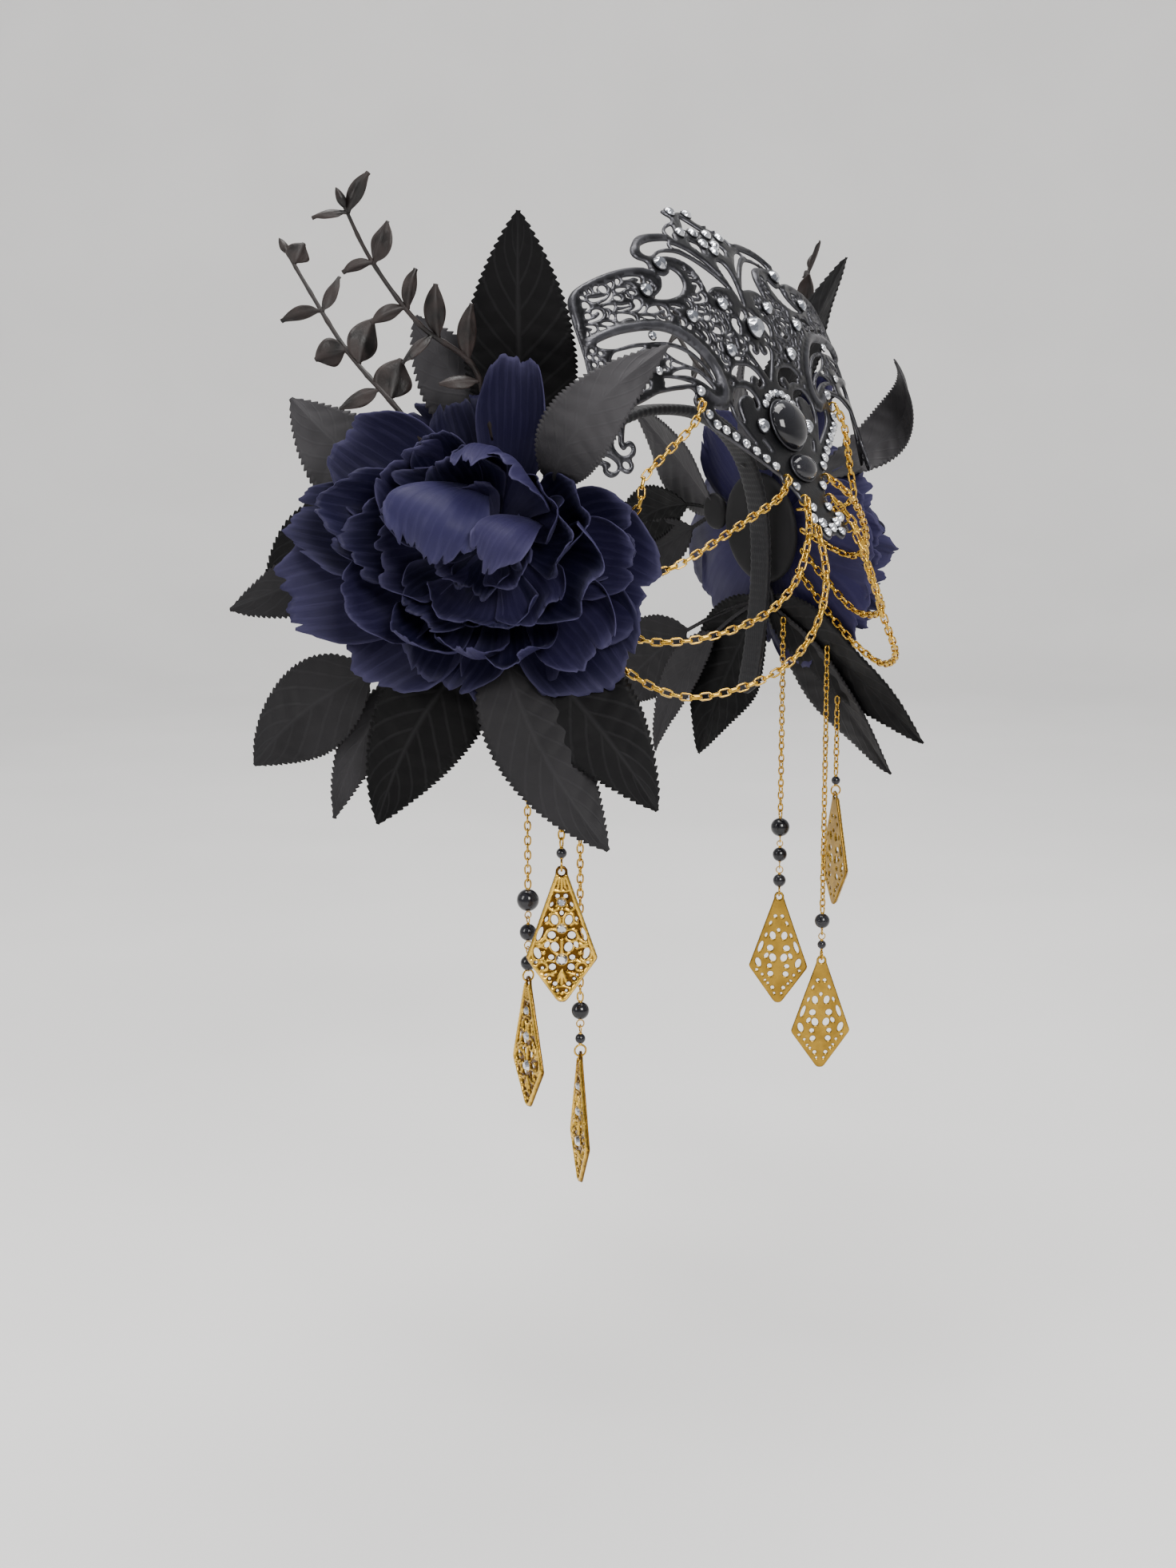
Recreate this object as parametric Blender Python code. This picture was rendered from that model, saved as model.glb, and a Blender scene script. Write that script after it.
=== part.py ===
"""Diadem: a pierced black crown plate on a head band, with silk flowers, leaves, twigs,
gold forehead chains and kite drops.

Metres. +Z up, the wearer faces -Y, +X is the wearer's left. The origin is the top of the
inner face of the head band. Tables are in millimetres.
"""
import bpy
import bmesh
import math
import random
import numpy as np
from mathutils import Vector
from mathutils.geometry import delaunay_2d_cdt

for old in list(bpy.data.objects):
    bpy.data.objects.remove(old, do_unlink=True)

MM = 0.001
SIDES = (("r", -1.0), ("l", 1.0))

# Crown plate
PLATE_HALF = 0.65
PROFILE = (2.43e-7, 5.3e-5, -0.00172, 0.395, -53.1)
FRONT_RADIUS = 260.0
WING_START = 60.0
WING_RAMP = 15.0
WING_CURVE = 1.0 / 90.0

# Head band
BAND_HALF_WIDTH = 76.0
BAND_DEPTH = 80.0
BAND_THICK = 4.4
BAND_WIDE = 9.0

# Flower
FLOWER_BASE = (-84.0, 5.0, -44.0)
FLOWER_AXIS = (-0.925, -0.36, 0.12)
PETAL_WALL = 1.5
LEAF_HALF = 0.9

# Kite drops
KITE_TALL = 43.8
KITE_HALF = 12.2
KITE_CORNER = 29.6
KITE_WALL = 1.3
RING_WIRE = 0.45

MATERIALS = {
    "black_plate": ((0.020, 0.020, 0.024), 0.85, 0.32),
    "black_glass": ((0.010, 0.010, 0.012), 0.0, 0.08),
    "clear_stone": ((0.80, 0.82, 0.86), 0.0, 0.05),
    "band_cloth": ((0.012, 0.012, 0.013), 0.0, 0.85),
    "navy_silk": ((0.022, 0.022, 0.085), 0.0, 0.42),
    "black_leaf": ((0.020, 0.020, 0.022), 0.0, 0.55),
    "brown_twig": ((0.035, 0.024, 0.018), 0.0, 0.60),
    "gold_chain": ((0.83, 0.60, 0.24), 1.0, 0.25),
    "gold_stamping": ((0.78, 0.55, 0.20), 1.0, 0.30),
}


def make_material(name):
    colour, metallic, rough = MATERIALS[name]
    mat = bpy.data.materials.new(name)
    mat.use_nodes = True
    shader = mat.node_tree.nodes["Principled BSDF"]
    shader.inputs["Base Color"].default_value = colour + (1.0,)
    shader.inputs["Metallic"].default_value = metallic
    shader.inputs["Roughness"].default_value = rough
    return mat


PAINT = {name: make_material(name) for name in MATERIALS}


# Crown surface: a leaning profile swept sideways along a gentle bow

def arc_tables():
    """Tables that turn distances along the plate into places."""
    z = np.linspace(-62.0, 100.0, 3241)
    y = np.polyval(PROFILE, z)
    run = np.concatenate([[0.0], np.cumsum(np.hypot(np.diff(z), np.diff(y)))])
    run = run - np.interp(0.0, z, run)
    s = np.arange(0.0, 140.0, 0.05)
    bend = 1.0 / FRONT_RADIUS + WING_CURVE * np.clip((s - WING_START) / WING_RAMP, 0.0, 1.0)
    bend = np.where(s < WING_START, 1.0 / FRONT_RADIUS, bend)
    turn = np.concatenate([[0.0], np.cumsum(bend[:-1] * 0.05)])
    out = np.concatenate([[0.0], np.cumsum(np.cos(turn[:-1]) * 0.05)])
    back = np.concatenate([[0.0], np.cumsum(np.sin(turn[:-1]) * 0.05)])
    return z, run, s, turn, out, back


ARC_Z, ARC_RUN, ARC_S, ARC_TURN, ARC_OUT, ARC_BACK = arc_tables()


def on_plate(u, v, w=0.0):
    """Place on the crown: u across, v up along the plate, w out of its front, in mm."""
    z0 = float(np.interp(v, ARC_RUN, ARC_Z))
    y0 = float(np.polyval(PROFILE, z0))
    lean = math.atan(float(np.polyval(np.polyder(PROFILE), z0)))
    a = abs(u)
    turn = float(np.interp(a, ARC_S, ARC_TURN))
    x = float(np.interp(a, ARC_S, ARC_OUT)) + w * math.sin(turn)
    d = float(np.interp(a, ARC_S, ARC_BACK)) - w * math.cos(turn)
    side = 1.0 if u >= 0.0 else -1.0
    return Vector((side * x, y0 + d * math.cos(lean), z0 - d * math.sin(lean)))


def plate_frame(u, v):
    """Axes of the plate at a place: across, up and out."""
    here = on_plate(u, v)
    out = (on_plate(u, v, 1.0) - here).normalized()
    up = (on_plate(u, v + 0.5) - on_plate(u, v - 0.5)).normalized()
    across = up.cross(out).normalized()
    return here, across, out.cross(across).normalized(), out


# Mesh helpers

def raw_mesh(name, verts, faces):
    mesh = bpy.data.meshes.new(name)
    mesh.from_pydata([tuple(p) for p in verts], [], faces)
    mesh.update()
    bm = bmesh.new()
    bm.from_mesh(mesh)
    bmesh.ops.remove_doubles(bm, verts=bm.verts, dist=1e-4)
    bmesh.ops.recalc_face_normals(bm, faces=bm.faces)
    bm.to_mesh(mesh)
    bm.free()
    return mesh


def place(name, mesh, paint, origin=None):
    """Puts a mesh in millimetres into the scene in metres."""
    if origin is None:
        origin = Vector((0.0, 0.0, 0.0))
    shift = Vector(origin)
    for vert in mesh.vertices:
        vert.co = (vert.co - shift) * MM
    obj = bpy.data.objects.new(name, mesh)
    obj.location = shift * MM
    bpy.context.scene.collection.objects.link(obj)
    mesh.materials.clear()
    mesh.materials.append(PAINT[paint])
    bm = bmesh.new()
    bm.from_mesh(mesh)
    bmesh.ops.recalc_face_normals(bm, faces=bm.faces)
    bmesh.ops.triangulate(bm, faces=bm.faces)
    for face in bm.faces:
        face.material_index = 0
    bm.to_mesh(mesh)
    bm.free()
    return obj


def flip_side(verts, side):
    """Tables are for the wearer's right, the -X side."""
    if side < 0:
        return [Vector(p) for p in verts]
    return [Vector((-p[0], p[1], p[2])) for p in verts]


def fuse(name, parts):
    """Joins closed meshes that run into each other into one body."""
    made = []
    for i, (verts, faces) in enumerate(parts):
        mesh = raw_mesh(name + "_piece", verts, faces)
        obj = bpy.data.objects.new(name + "_piece", mesh)
        bpy.context.scene.collection.objects.link(obj)
        made.append(obj)
    first = made[0]
    for other in made[1:]:
        cut = first.modifiers.new("join", "BOOLEAN")
        cut.operation = "UNION"
        cut.solver = "EXACT"
        cut.object = other
        bpy.context.view_layer.update()
        graph = bpy.context.evaluated_depsgraph_get()
        merged = bpy.data.meshes.new_from_object(first.evaluated_get(graph))
        first.modifiers.clear()
        first.data = merged
    mesh = first.data.copy()
    for obj in made:
        bpy.data.objects.remove(obj, do_unlink=True)
    bm = bmesh.new()
    bm.from_mesh(mesh)
    bmesh.ops.remove_doubles(bm, verts=bm.verts, dist=1e-4)
    bmesh.ops.triangulate(bm, faces=bm.faces)
    bm.to_mesh(mesh)
    bm.free()
    return mesh


def rings_solid(rings):
    """Closes a stack of equal point rings with a cap at each end."""
    n = len(rings[0])
    verts = [p for ring in rings for p in ring]
    faces = []
    for k in range(len(rings) - 1):
        for i in range(n):
            j = (i + 1) % n
            faces.append((k * n + i, k * n + j, (k + 1) * n + j, (k + 1) * n + i))
    faces.append(tuple(reversed(range(n))))
    top = (len(rings) - 1) * n
    faces.append(tuple(range(top, top + n)))
    return verts, faces


def lathe(origin, axis, profile, sides, start=None):
    """Turns (radius, height) pairs about an axis into a closed solid."""
    axis = Vector(axis).normalized()
    if start is None:
        start = Vector((0.0, 0.0, 1.0)) if abs(axis.z) < 0.9 else Vector((0.0, -1.0, 0.0))
    x = (start - axis * start.dot(axis)).normalized()
    y = axis.cross(x)
    origin = Vector(origin)
    rings = []
    for r, h in profile:
        ring = []
        for i in range(sides):
            t = 2.0 * math.pi * (i + 0.5) / sides
            ring.append(origin + axis * h + x * (r * math.cos(t)) + y * (r * math.sin(t)))
        rings.append(ring)
    return rings_solid(rings)


def torus(centre, normal, big, small, n_big, n_small):
    normal = Vector(normal).normalized()
    start = Vector((0.0, 0.0, 1.0)) if abs(normal.z) < 0.9 else Vector((1.0, 0.0, 0.0))
    x = (start - normal * start.dot(normal)).normalized()
    y = normal.cross(x)
    verts = []
    faces = []
    for i in range(n_big):
        t = 2.0 * math.pi * (i + 0.5) / n_big
        out = x * math.cos(t) + y * math.sin(t)
        for j in range(n_small):
            q = 2.0 * math.pi * (j + 0.5) / n_small
            verts.append(Vector(centre) + out * (big + small * math.cos(q))
                         + normal * (small * math.sin(q)))
    for i in range(n_big):
        for j in range(n_small):
            a = i * n_small + j
            b = i * n_small + (j + 1) % n_small
            c = ((i + 1) % n_big) * n_small + (j + 1) % n_small
            d = ((i + 1) % n_big) * n_small + j
            faces.append((a, b, c, d))
    return verts, faces


def smooth_path(points, steps):
    """Catmull-Rom run through a few points."""
    pts = [Vector(p) for p in points]
    pts = [pts[0] * 2 - pts[1]] + pts + [pts[-1] * 2 - pts[-2]]
    out = []
    for i in range(1, len(pts) - 2):
        a, b, c, d = pts[i - 1], pts[i], pts[i + 1], pts[i + 2]
        for k in range(steps):
            t = k / steps
            out.append(0.5 * ((2 * b) + (c - a) * t + (2 * a - 5 * b + 4 * c - d) * t * t
                              + (3 * b - a - 3 * c + d) * t * t * t))
    out.append(pts[-2])
    return out


def even_path(points, count):
    """Points at equal distances along a run."""
    run = [0.0]
    for a, b in zip(points, points[1:]):
        run.append(run[-1] + (b - a).length)
    out = []
    for k in range(count):
        want = run[-1] * k / (count - 1)
        i = max(j for j in range(len(run) - 1) if run[j] <= want + 1e-9)
        t = (want - run[i]) / (run[i + 1] - run[i])
        out.append(points[i].lerp(points[i + 1], t))
    return out


def tube(points, radii, sides):
    """A tapering round stem along a path."""
    rings = []
    normal = None
    for i, p in enumerate(points):
        ahead = points[min(i + 1, len(points) - 1)]
        behind = points[max(i - 1, 0)]
        along = (ahead - behind).normalized()
        if normal is None:
            seed = Vector((0.0, 0.0, 1.0)) if abs(along.z) < 0.8 else Vector((1.0, 0.0, 0.0))
            normal = (seed - along * seed.dot(along)).normalized()
        else:
            normal = (normal - along * normal.dot(along)).normalized()
        other = along.cross(normal)
        r = radii[i] if isinstance(radii, (list, tuple)) else radii
        rings.append([p + normal * (r * math.cos(2 * math.pi * j / sides))
                      + other * (r * math.sin(2 * math.pi * j / sides)) for j in range(sides)])
    return rings_solid(rings)


# Crown edge on the wearer's right half, run by run from the peak down to the tip: u, v
EDGE = {
    "peak": [(0.0, 87.2), (-5.5, 88.4), (-8.3, 87.0), (-6.8, 83.4), (-15.5, 78.4),
             (-20.8, 74.4), (-21.8, 72.9)],
    "top_scroll": [(-25.0, 73.2), (-30.0, 73.2), (-35.0, 72.6), (-39.5, 71.1), (-43.0, 68.8),
                   (-45.8, 66.2), (-46.9, 63.6), (-45.8, 61.6), (-43.3, 60.4),
                   (-43.1, 58.2)],
    "wing_top": [(-44.5, 56.8), (-48.3, 57.7), (-53.0, 57.9), (-63.0, 56.9), (-73.0, 54.8),
                 (-78.3, 53.2), (-82.4, 51.4), (-85.2, 47.6)],
    "wing_end": [(-86.4, 40.0), (-86.8, 31.0), (-87.2, 22.0), (-88.6, 14.0), (-91.6, 6.0),
                 (-95.6, -1.0), (-99.0, -6.0), (-100.8, -9.8)],
    "foot": [(-96.7, -9.1), (-94.0, -9.4), (-92.3, -10.3), (-92.8, -11.8), (-92.3, -13.3),
             (-90.9, -14.3), (-88.6, -14.4), (-86.4, -13.3), (-85.6, -14.3), (-84.2, -14.8),
             (-82.5, -14.2), (-81.5, -12.6), (-81.7, -10.8), (-79.4, -8.6), (-78.6, -6.9),
             (-79.0, -5.2), (-80.0, -4.4), (-82.1, -4.9), (-81.7, -3.3)],
    "arch": [(-79.9, 0.6), (-78.0, 3.0), (-74.5, 5.6), (-69.0, 7.7), (-64.0, 9.1),
             (-54.5, 10.2), (-46.6, 10.4), (-44.6, 8.6), (-46.4, 6.8), (-46.6, 4.6),
             (-45.2, 3.2)],
    "low_edge": [(-44.4, 0.0), (-42.2, -3.9), (-34.3, -9.1), (-26.0, -15.0),
                 (-17.6, -21.3), (-14.9, -23.4), (-14.6, -25.6), (-12.6, -26.6)],
    "tip": [(-9.2, -31.2), (-8.9, -33.6), (-7.4, -35.4), (-7.2, -37.4), (-9.6, -38.3),
            (-12.1, -40.0), (-12.4, -42.2), (-13.2, -44.2), (-12.4, -46.4), (-10.4, -46.6),
            (-8.4, -45.8), (-7.2, -47.8), (-5.2, -49.3), (-2.9, -48.6), (0.0, -47.6)],
}

# Curved slots, station by station: u, v, half width
SLOTS = {
    "under_band": [(-81.0, 28.8, 0.4), (-77.0, 29.0, 1.9), (-69.0, 29.9, 2.2),
                   (-59.5, 30.2, 2.3), (-51.0, 29.5, 2.1), (-44.5, 27.2, 1.85),
                   (-38.8, 23.2, 1.5), (-34.8, 18.3, 1.1), (-32.4, 12.8, 0.3)],
    "arch_left": [(-79.3, 20.5, 0.2), (-75.2, 23.2, 1.7), (-69.6, 24.7, 1.3),
                  (-62.0, 26.5, 0.2)],
    "arch_right": [(-54.0, 24.6, 1.2), (-49.5, 23.1, 2.3), (-43.4, 20.7, 2.5),
                   (-38.4, 17.4, 1.8), (-34.6, 13.0, 0.3)],
    "slit_upper": [(-53.5, 15.9, 0.2), (-48.0, 16.2, 1.0), (-42.4, 15.2, 1.4),
                   (-38.0, 12.8, 1.1), (-35.3, 10.0, 0.25)],
    "slit_lower": [(-57.4, 13.1, 1.2), (-51.0, 12.9, 1.0), (-44.8, 12.1, 0.2)],
    "slit_hidden": [(-78.4, 13.4, 0.3), (-73.0, 13.4, 2.7), (-66.0, 13.0, 1.3)],
    "arm": [(-91.8, -1.6, 1.0), (-88.0, 3.6, 3.6), (-84.8, 9.2, 3.4), (-82.6, 14.4, 1.2)],
    "foot_right": [(-83.8, -2.1, 0.3), (-85.1, -4.9, 0.9), (-84.4, -7.4, 0.9),
                   (-82.2, -7.8, 0.8), (-80.6, -6.6, 0.45)],
    "foot_left": [(-94.2, -7.9, 0.3), (-91.2, -8.2, 0.7), (-89.1, -9.8, 0.8),
                  (-88.9, -11.7, 0.8), (-90.4, -12.0, 0.45)],
    "top_a": [(-76.6, 46.8, 0.8), (-72.5, 46.9, 0.7), (-68.4, 48.1, 0.2)],
    "top_g": [(-58.8, 53.3, 0.25), (-55.2, 53.7, 0.5), (-51.8, 52.9, 0.95),
              (-50.4, 51.4, 0.4)],
    "mid_d": [(-77.2, 44.1, 0.4), (-72.5, 44.3, 0.8), (-69.4, 42.9, 1.3)],
    "mid_f": [(-62.6, 40.3, 0.2), (-59.2, 41.2, 0.6), (-57.4, 42.6, 1.1),
              (-57.0, 44.5, 0.5)],
    "mid_g": [(-54.7, 39.2, 0.2), (-51.5, 40.4, 0.9), (-48.0, 40.6, 1.0),
              (-46.2, 39.1, 1.0), (-47.8, 37.6, 0.5)],
    "mid_i": [(-68.9, 38.2, 1.3), (-65.0, 38.5, 1.0), (-61.2, 37.6, 0.3)],
    "mid_j": [(-80.4, 38.7, 0.2), (-76.6, 39.7, 0.6), (-75.0, 41.2, 0.9),
              (-77.4, 42.0, 0.35)],
    "rung_b": [(-25.4, 49.4, 0.3), (-23.6, 49.6, 0.7), (-22.4, 48.0, 0.6)],
    "comma": [(-22.6, 14.6, 0.3), (-19.8, 15.2, 2.2), (-15.8, 15.5, 2.6), (-11.6, 15.9, 1.8),
              (-7.9, 14.4, 1.4), (-6.6, 12.1, 1.3), (-9.2, 10.9, 0.4)],
    "hook": [(-24.8, -2.4, 0.3), (-25.7, 0.6, 1.0), (-25.2, 4.2, 1.5), (-22.6, 7.4, 1.6),
             (-18.6, 8.4, 1.4), (-14.8, 7.2, 1.5), (-13.4, 4.6, 1.1), (-14.5, 2.6, 0.3)],
    "tear": [(-17.4, -9.9, 0.3), (-15.9, -11.8, 0.7), (-14.6, -13.8, 0.2)],
    "top_slot": [(-41.3, 63.8, 0.9), (-37.8, 65.4, 2.1), (-32.2, 67.0, 2.2),
                 (-26.6, 67.8, 1.8), (-23.2, 69.3, 0.3)],
    "fan_slot": [(-23.0, 66.8, 0.4), (-20.0, 66.0, 1.1), (-14.6, 62.6, 1.2),
                 (-9.6, 57.9, 1.0), (-6.4, 54.2, 0.2)],
    "loop": [(-18.9, 71.4, 0.5), (-18.0, 73.4, 1.2), (-15.6, 75.5, 1.0),
             (-12.2, 77.5, 0.4)],
}

# Small round and oval gaps: u, v, half width, half height, turn in degrees
OVALS = [
    (-84.2, -11.8, 1.5, 1.4, 0), (-63.2, 22.9, 2.1, 0.9, 12), (-70.6, 20.5, 2.1, 0.85, 10),
    (-61.2, 18.5, 2.3, 1.2, 10), (-80.8, 26.7, 0.9, 0.8, 0), (-82.9, 24.7, 0.9, 0.8, 0),
    (-78.8, 25.1, 0.9, 0.7, 0), (-69.5, 50.5, 1.9, 1.3, -20),
    (-80.6, 35.6, 1.7, 1.0, 20),
    (-79.6, 45.8, 1.3, 1.2, 0), (-83.4, 41.2, 1.0, 1.9, 0), (-84.6, 18.6, 1.4, 0.8, 15), (-41.9, 38.5, 2.0, 1.0, 0),
    (-23.4, 31.2, 2.9, 0.95, 0), (-15.8, 34.5, 0.65, 3.0, 5), (-10.3, 33.2, 1.9, 2.8, 0),
    (-24.6, 20.2, 0.8, 2.1, -50), (-15.9, 20.8, 2.0, 0.6, 0), (-24.0, 53.5, 1.5, 1.1, 0),
    (-25.6, 43.6, 3.7, 1.5, 5), (-8.4, 66.9, 1.7, 2.7, -20),
]

# Wide gaps by their corners: u, v
WIDE = {
    "crescent": [(-41.1, 50.7), (-44.6, 46.9), (-49.6, 44.7), (-42.8, 43.7), (-35.7, 45.1),
                 (-30.5, 49.1), (-29.9, 54.1), (-32.7, 56.3), (-37.4, 53.3), (-41.2, 53.6)],
    "corner": [(-38.0, 3.2), (-33.6, 2.2), (-29.0, 3.4), (-28.8, 0.8), (-26.0, -4.4),
               (-22.6, -10.0), (-28.2, -6.6), (-34.8, -2.2), (-37.2, 0.4)],
    "fan": [(-36.4, 61.9), (-32.0, 63.7), (-25.2, 64.1), (-18.8, 61.7), (-12.8, 57.1),
            (-4.8, 48.6), (-13.2, 48.6), (-19.1, 46.4), (-19.4, 53.2), (-22.8, 59.2),
            (-28.8, 61.6)],
}

# Gaps on the middle line, right half of each, top to bottom: u, v
MIDDLE = {
    "heart": [(0.0, 25.8), (-0.7, 23.8), (-2.6, 22.4), (-4.6, 23.6), (-4.0, 26.0),
              (-6.4, 25.8), (-7.2, 24.4), (-5.6, 20.8), (-2.0, 15.6), (0.0, 12.9)],
    "teardrop": [(0.0, 60.8), (-1.8, 60.2), (-3.2, 56.0), (-2.3, 50.0), (-1.0, 44.5),
                 (0.0, 41.4)],
    "peak": [(0.0, 83.8), (-5.0, 78.4), (-6.4, 76.8), (0.0, 76.6)],
}

# Raised ribs of the casting: path points and half width
RIBS = {
    "thick_band": (1.2, [(-83.0, 31.0), (-72.0, 33.7), (-59.0, 34.3), (-49.0, 33.2),
                         (-40.5, 29.2), (-35.4, 24.5), (-31.8, 19.4), (-30.1, 13.8),
                         (-30.4, 8.4), (-34.6, 5.2)]),
    "rim": (0.9, [(-45.2, 55.4), (-50.0, 56.5), (-62.0, 55.7), (-74.0, 53.3), (-80.6, 50.8),
                  (-84.0, 46.0), (-85.2, 38.0)]),
    "scroll": (0.7, [(-43.8, 64.0), (-43.0, 67.0), (-39.5, 69.6), (-34.0, 71.0),
                     (-28.0, 71.5), (-23.0, 71.2)]),
}

# Small stones fused to the plate: place and radius
SMALL_STONES = [
    (-43.4, 9.2, 1.9), (-42.8, 0.8, 1.8), (-40.4, -3.4, 1.8), (-36.6, -5.9, 1.8),
    (-32.6, -8.4, 1.8), (-28.4, -11.1, 1.8), (-24.3, -14.0, 1.8), (-20.1, -16.9, 1.8),
    (-16.1, -20.4, 1.8), (-8.8, -28.2, 1.7), (-5.2, -36.4, 1.6), (-9.6, -40.9, 2.0),
    (-5.4, -42.8, 1.9), (-5.0, -47.0, 1.6), (-13.6, 73.0, 2.2),
    (-4.6, 73.2, 2.3), (-4.4, 67.0, 2.3), (-5.5, 88.2, 2.1),
]
MIDDLE_STONES = [(0.0, -45.4, 1.7)]

# Main stones with a body of their own: name, place, radius
MAIN_STONES = [
    ("stone_rim", -51.8, 47.4, 2.4), ("stone_curl", -37.8, 58.0, 2.7),
    ("stone_wing", -34.9, 36.2, 2.4), ("stone_cap", -15.0, 41.0, 2.4),
    ("stone_brow", -20.2, 23.3, 2.4), ("stone_side", -15.2, -4.6, 2.6),
]
STONE_GAP = 0.3


def slot_loop(stations):
    """Edge of a curved slot: each station gives a point on either side of the middle line."""
    left, right = [], []
    n = len(stations)
    for i, (u, v, half) in enumerate(stations):
        ahead = stations[min(i + 1, n - 1)]
        behind = stations[max(i - 1, 0)]
        du, dv = ahead[0] - behind[0], ahead[1] - behind[1]
        run = math.hypot(du, dv)
        su, sv = -dv / run * half, du / run * half
        if half <= 0.3:
            left.append((u, v))
        else:
            left.append((u + su, v + sv))
            right.append((u - su, v - sv))
    return left + right[::-1]


def oval_loop(u, v, ru, rv, turn):
    count = 6 if max(ru, rv) > 1.4 else 5
    cos_t, sin_t = math.cos(math.radians(turn)), math.sin(math.radians(turn))
    loop = []
    for i in range(count):
        a = 2.0 * math.pi * i / count
        x, y = ru * math.cos(a), rv * math.sin(a)
        loop.append((u + x * cos_t - y * sin_t, v + x * sin_t + y * cos_t))
    return loop


def whole(half_loop):
    """Closes a right half and its mirror on the middle line."""
    return half_loop + [(-u, v) for u, v in reversed(half_loop[1:-1])]


def gap_loops():
    half = [slot_loop(rows) for rows in SLOTS.values()]
    half += [oval_loop(*row) for row in OVALS]
    half += list(WIDE.values())
    return half + [mirrored(loop) for loop in half] + [whole(h) for h in MIDDLE.values()]


def in_gap(flat, face, holes):
    """True where the middle of a triangle lies inside one of the gap loops."""
    x = sum(flat[i].x for i in face) / len(face)
    y = sum(flat[i].y for i in face) / len(face)
    for loop in holes:
        inside = False
        for (ax, ay), (bx, by) in zip(loop, loop[1:] + loop[:1]):
            if (ay > y) != (by > y) and x < ax + (y - ay) * (bx - ax) / (by - ay):
                inside = not inside
        if inside:
            return True
    return False


def fill_solid(outer, holes, half):
    """Flat plate with gaps: the loops are triangulated once and given a thickness."""
    points = []
    edges = []
    for loop in [outer] + holes:
        start = len(points)
        points += [Vector(p) for p in loop]
        n = len(loop)
        edges += [(start + i, start + (i + 1) % n) for i in range(n)]
    flat, bounds, faces, a, b, c = delaunay_2d_cdt(points, edges, [], 1, 1e-5)
    faces = [f for f in faces if not in_gap(flat, f, holes)]
    n = len(flat)
    verts = [Vector((p.x, p.y, half)) for p in flat]
    verts += [Vector((p.x, p.y, -half)) for p in flat]
    solid = []
    used = {}
    for face in faces:
        solid.append(tuple(face))
        solid.append(tuple(n + i for i in reversed(face)))
        for k in range(len(face)):
            i, j = face[k], face[(k + 1) % len(face)]
            key = (min(i, j), max(i, j))
            used.setdefault(key, []).append((i, j))
    for pairs in used.values():
        if len(pairs) == 1:
            i, j = pairs[0]
            solid.append((j, i, n + i, n + j))
    return verts, solid


def mirrored(loop):
    return [(-u, v) for u, v in reversed(loop)]


def ribbon(path, half, low, high):
    """A raised rib on the flat plate, narrower at the top."""
    rings = []
    pts = [Vector((p[0], p[1], 0.0)) for p in path]
    for i, p in enumerate(pts):
        along = (pts[min(i + 1, len(pts) - 1)] - pts[max(i - 1, 0)]).normalized()
        side = Vector((-along.y, along.x, 0.0))
        fade = 0.55 if i in (0, len(pts) - 1) else 1.0
        wide = half * fade
        top = high if fade == 1.0 else low + (high - low) * 0.75
        rings.append([p + side * wide + Vector((0, 0, low)),
                      p - side * wide + Vector((0, 0, low)),
                      p - side * wide * 0.5 + Vector((0, 0, top)),
                      p + side * wide * 0.5 + Vector((0, 0, top))])
    return rings_solid(rings)


def set_stone(u, v, r):
    """A small cut stone with its cup, as one closed solid on the flat plate."""
    profile = [(r + 0.35, 0.1), (r * 0.62, 1.1 + r * 0.42)]
    return lathe((u, v, 0.0), (0, 0, 1), profile, 8)


def oval(u, v, ru, rv, low, high, sides):
    rings = []
    for w in (low, high):
        rings.append([Vector((u + ru * math.cos(2 * math.pi * i / sides),
                              v + rv * math.sin(2 * math.pi * i / sides), w))
                      for i in range(sides)])
    return rings_solid(rings)


def crown_plate():
    edge = [p for run in EDGE.values() for p in run]
    outer = whole(edge)
    holes = gap_loops()
    parts = [fill_solid(outer, holes, PLATE_HALF)]
    for side in (1.0, -1.0):
        for half, path in RIBS.values():
            parts.append(ribbon([(side * u, v) for u, v in path], half, -0.3, 1.35))
        for u, v, r in SMALL_STONES:
            parts.append(set_stone(side * u, v, r))
        # Lug with an eye for the corner chain
        parts.append(oval(side * 45.0, 5.2, 1.7, 1.7, -0.5, 0.5, 8))
    for u, v, r in MIDDLE_STONES:
        parts.append(set_stone(u, v, r))
    parts.append(oval(0.0, -4.6, 10.4, 10.0, -0.4, 1.5, 16))
    parts.append(oval(0.0, -21.0, 7.6, 5.4, -0.4, 1.5, 12))
    flat = fuse("crown", parts)
    for vert in flat.vertices:
        u, v, w = vert.co
        vert.co = on_plate(u, v, w)
    return place("crown_plate", flat, "black_plate")


def dome(name, u, v, ru, rv, high, paint):
    here, across, up, out = plate_frame(u, v)
    rings = []
    for r, h in ((1.0, 1.8), (1.0, 2.4), (0.93, 2.0 + high * 0.42), (0.74, 2.0 + high * 0.74),
                 (0.42, 2.0 + high * 0.94)):
        rings.append([here + across * (ru * r * math.cos(2 * math.pi * i / 16))
                      + up * (rv * r * math.sin(2 * math.pi * i / 16)) + out * h
                      for i in range(16)])
    verts, faces = rings_solid(rings)
    return place(name, raw_mesh(name, verts, faces), paint)


def cut_stone(name, u, v, r, low, sides):
    here, across, up, out = plate_frame(u, v)
    profile = [(r * 0.8, low), (r, low + 0.5), (r * 0.62, low + 0.5 + r * 0.42)]
    verts, faces = lathe(here, out, profile, sides, up)
    return place(name, raw_mesh(name, verts, faces), "clear_stone")


# Head band

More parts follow.
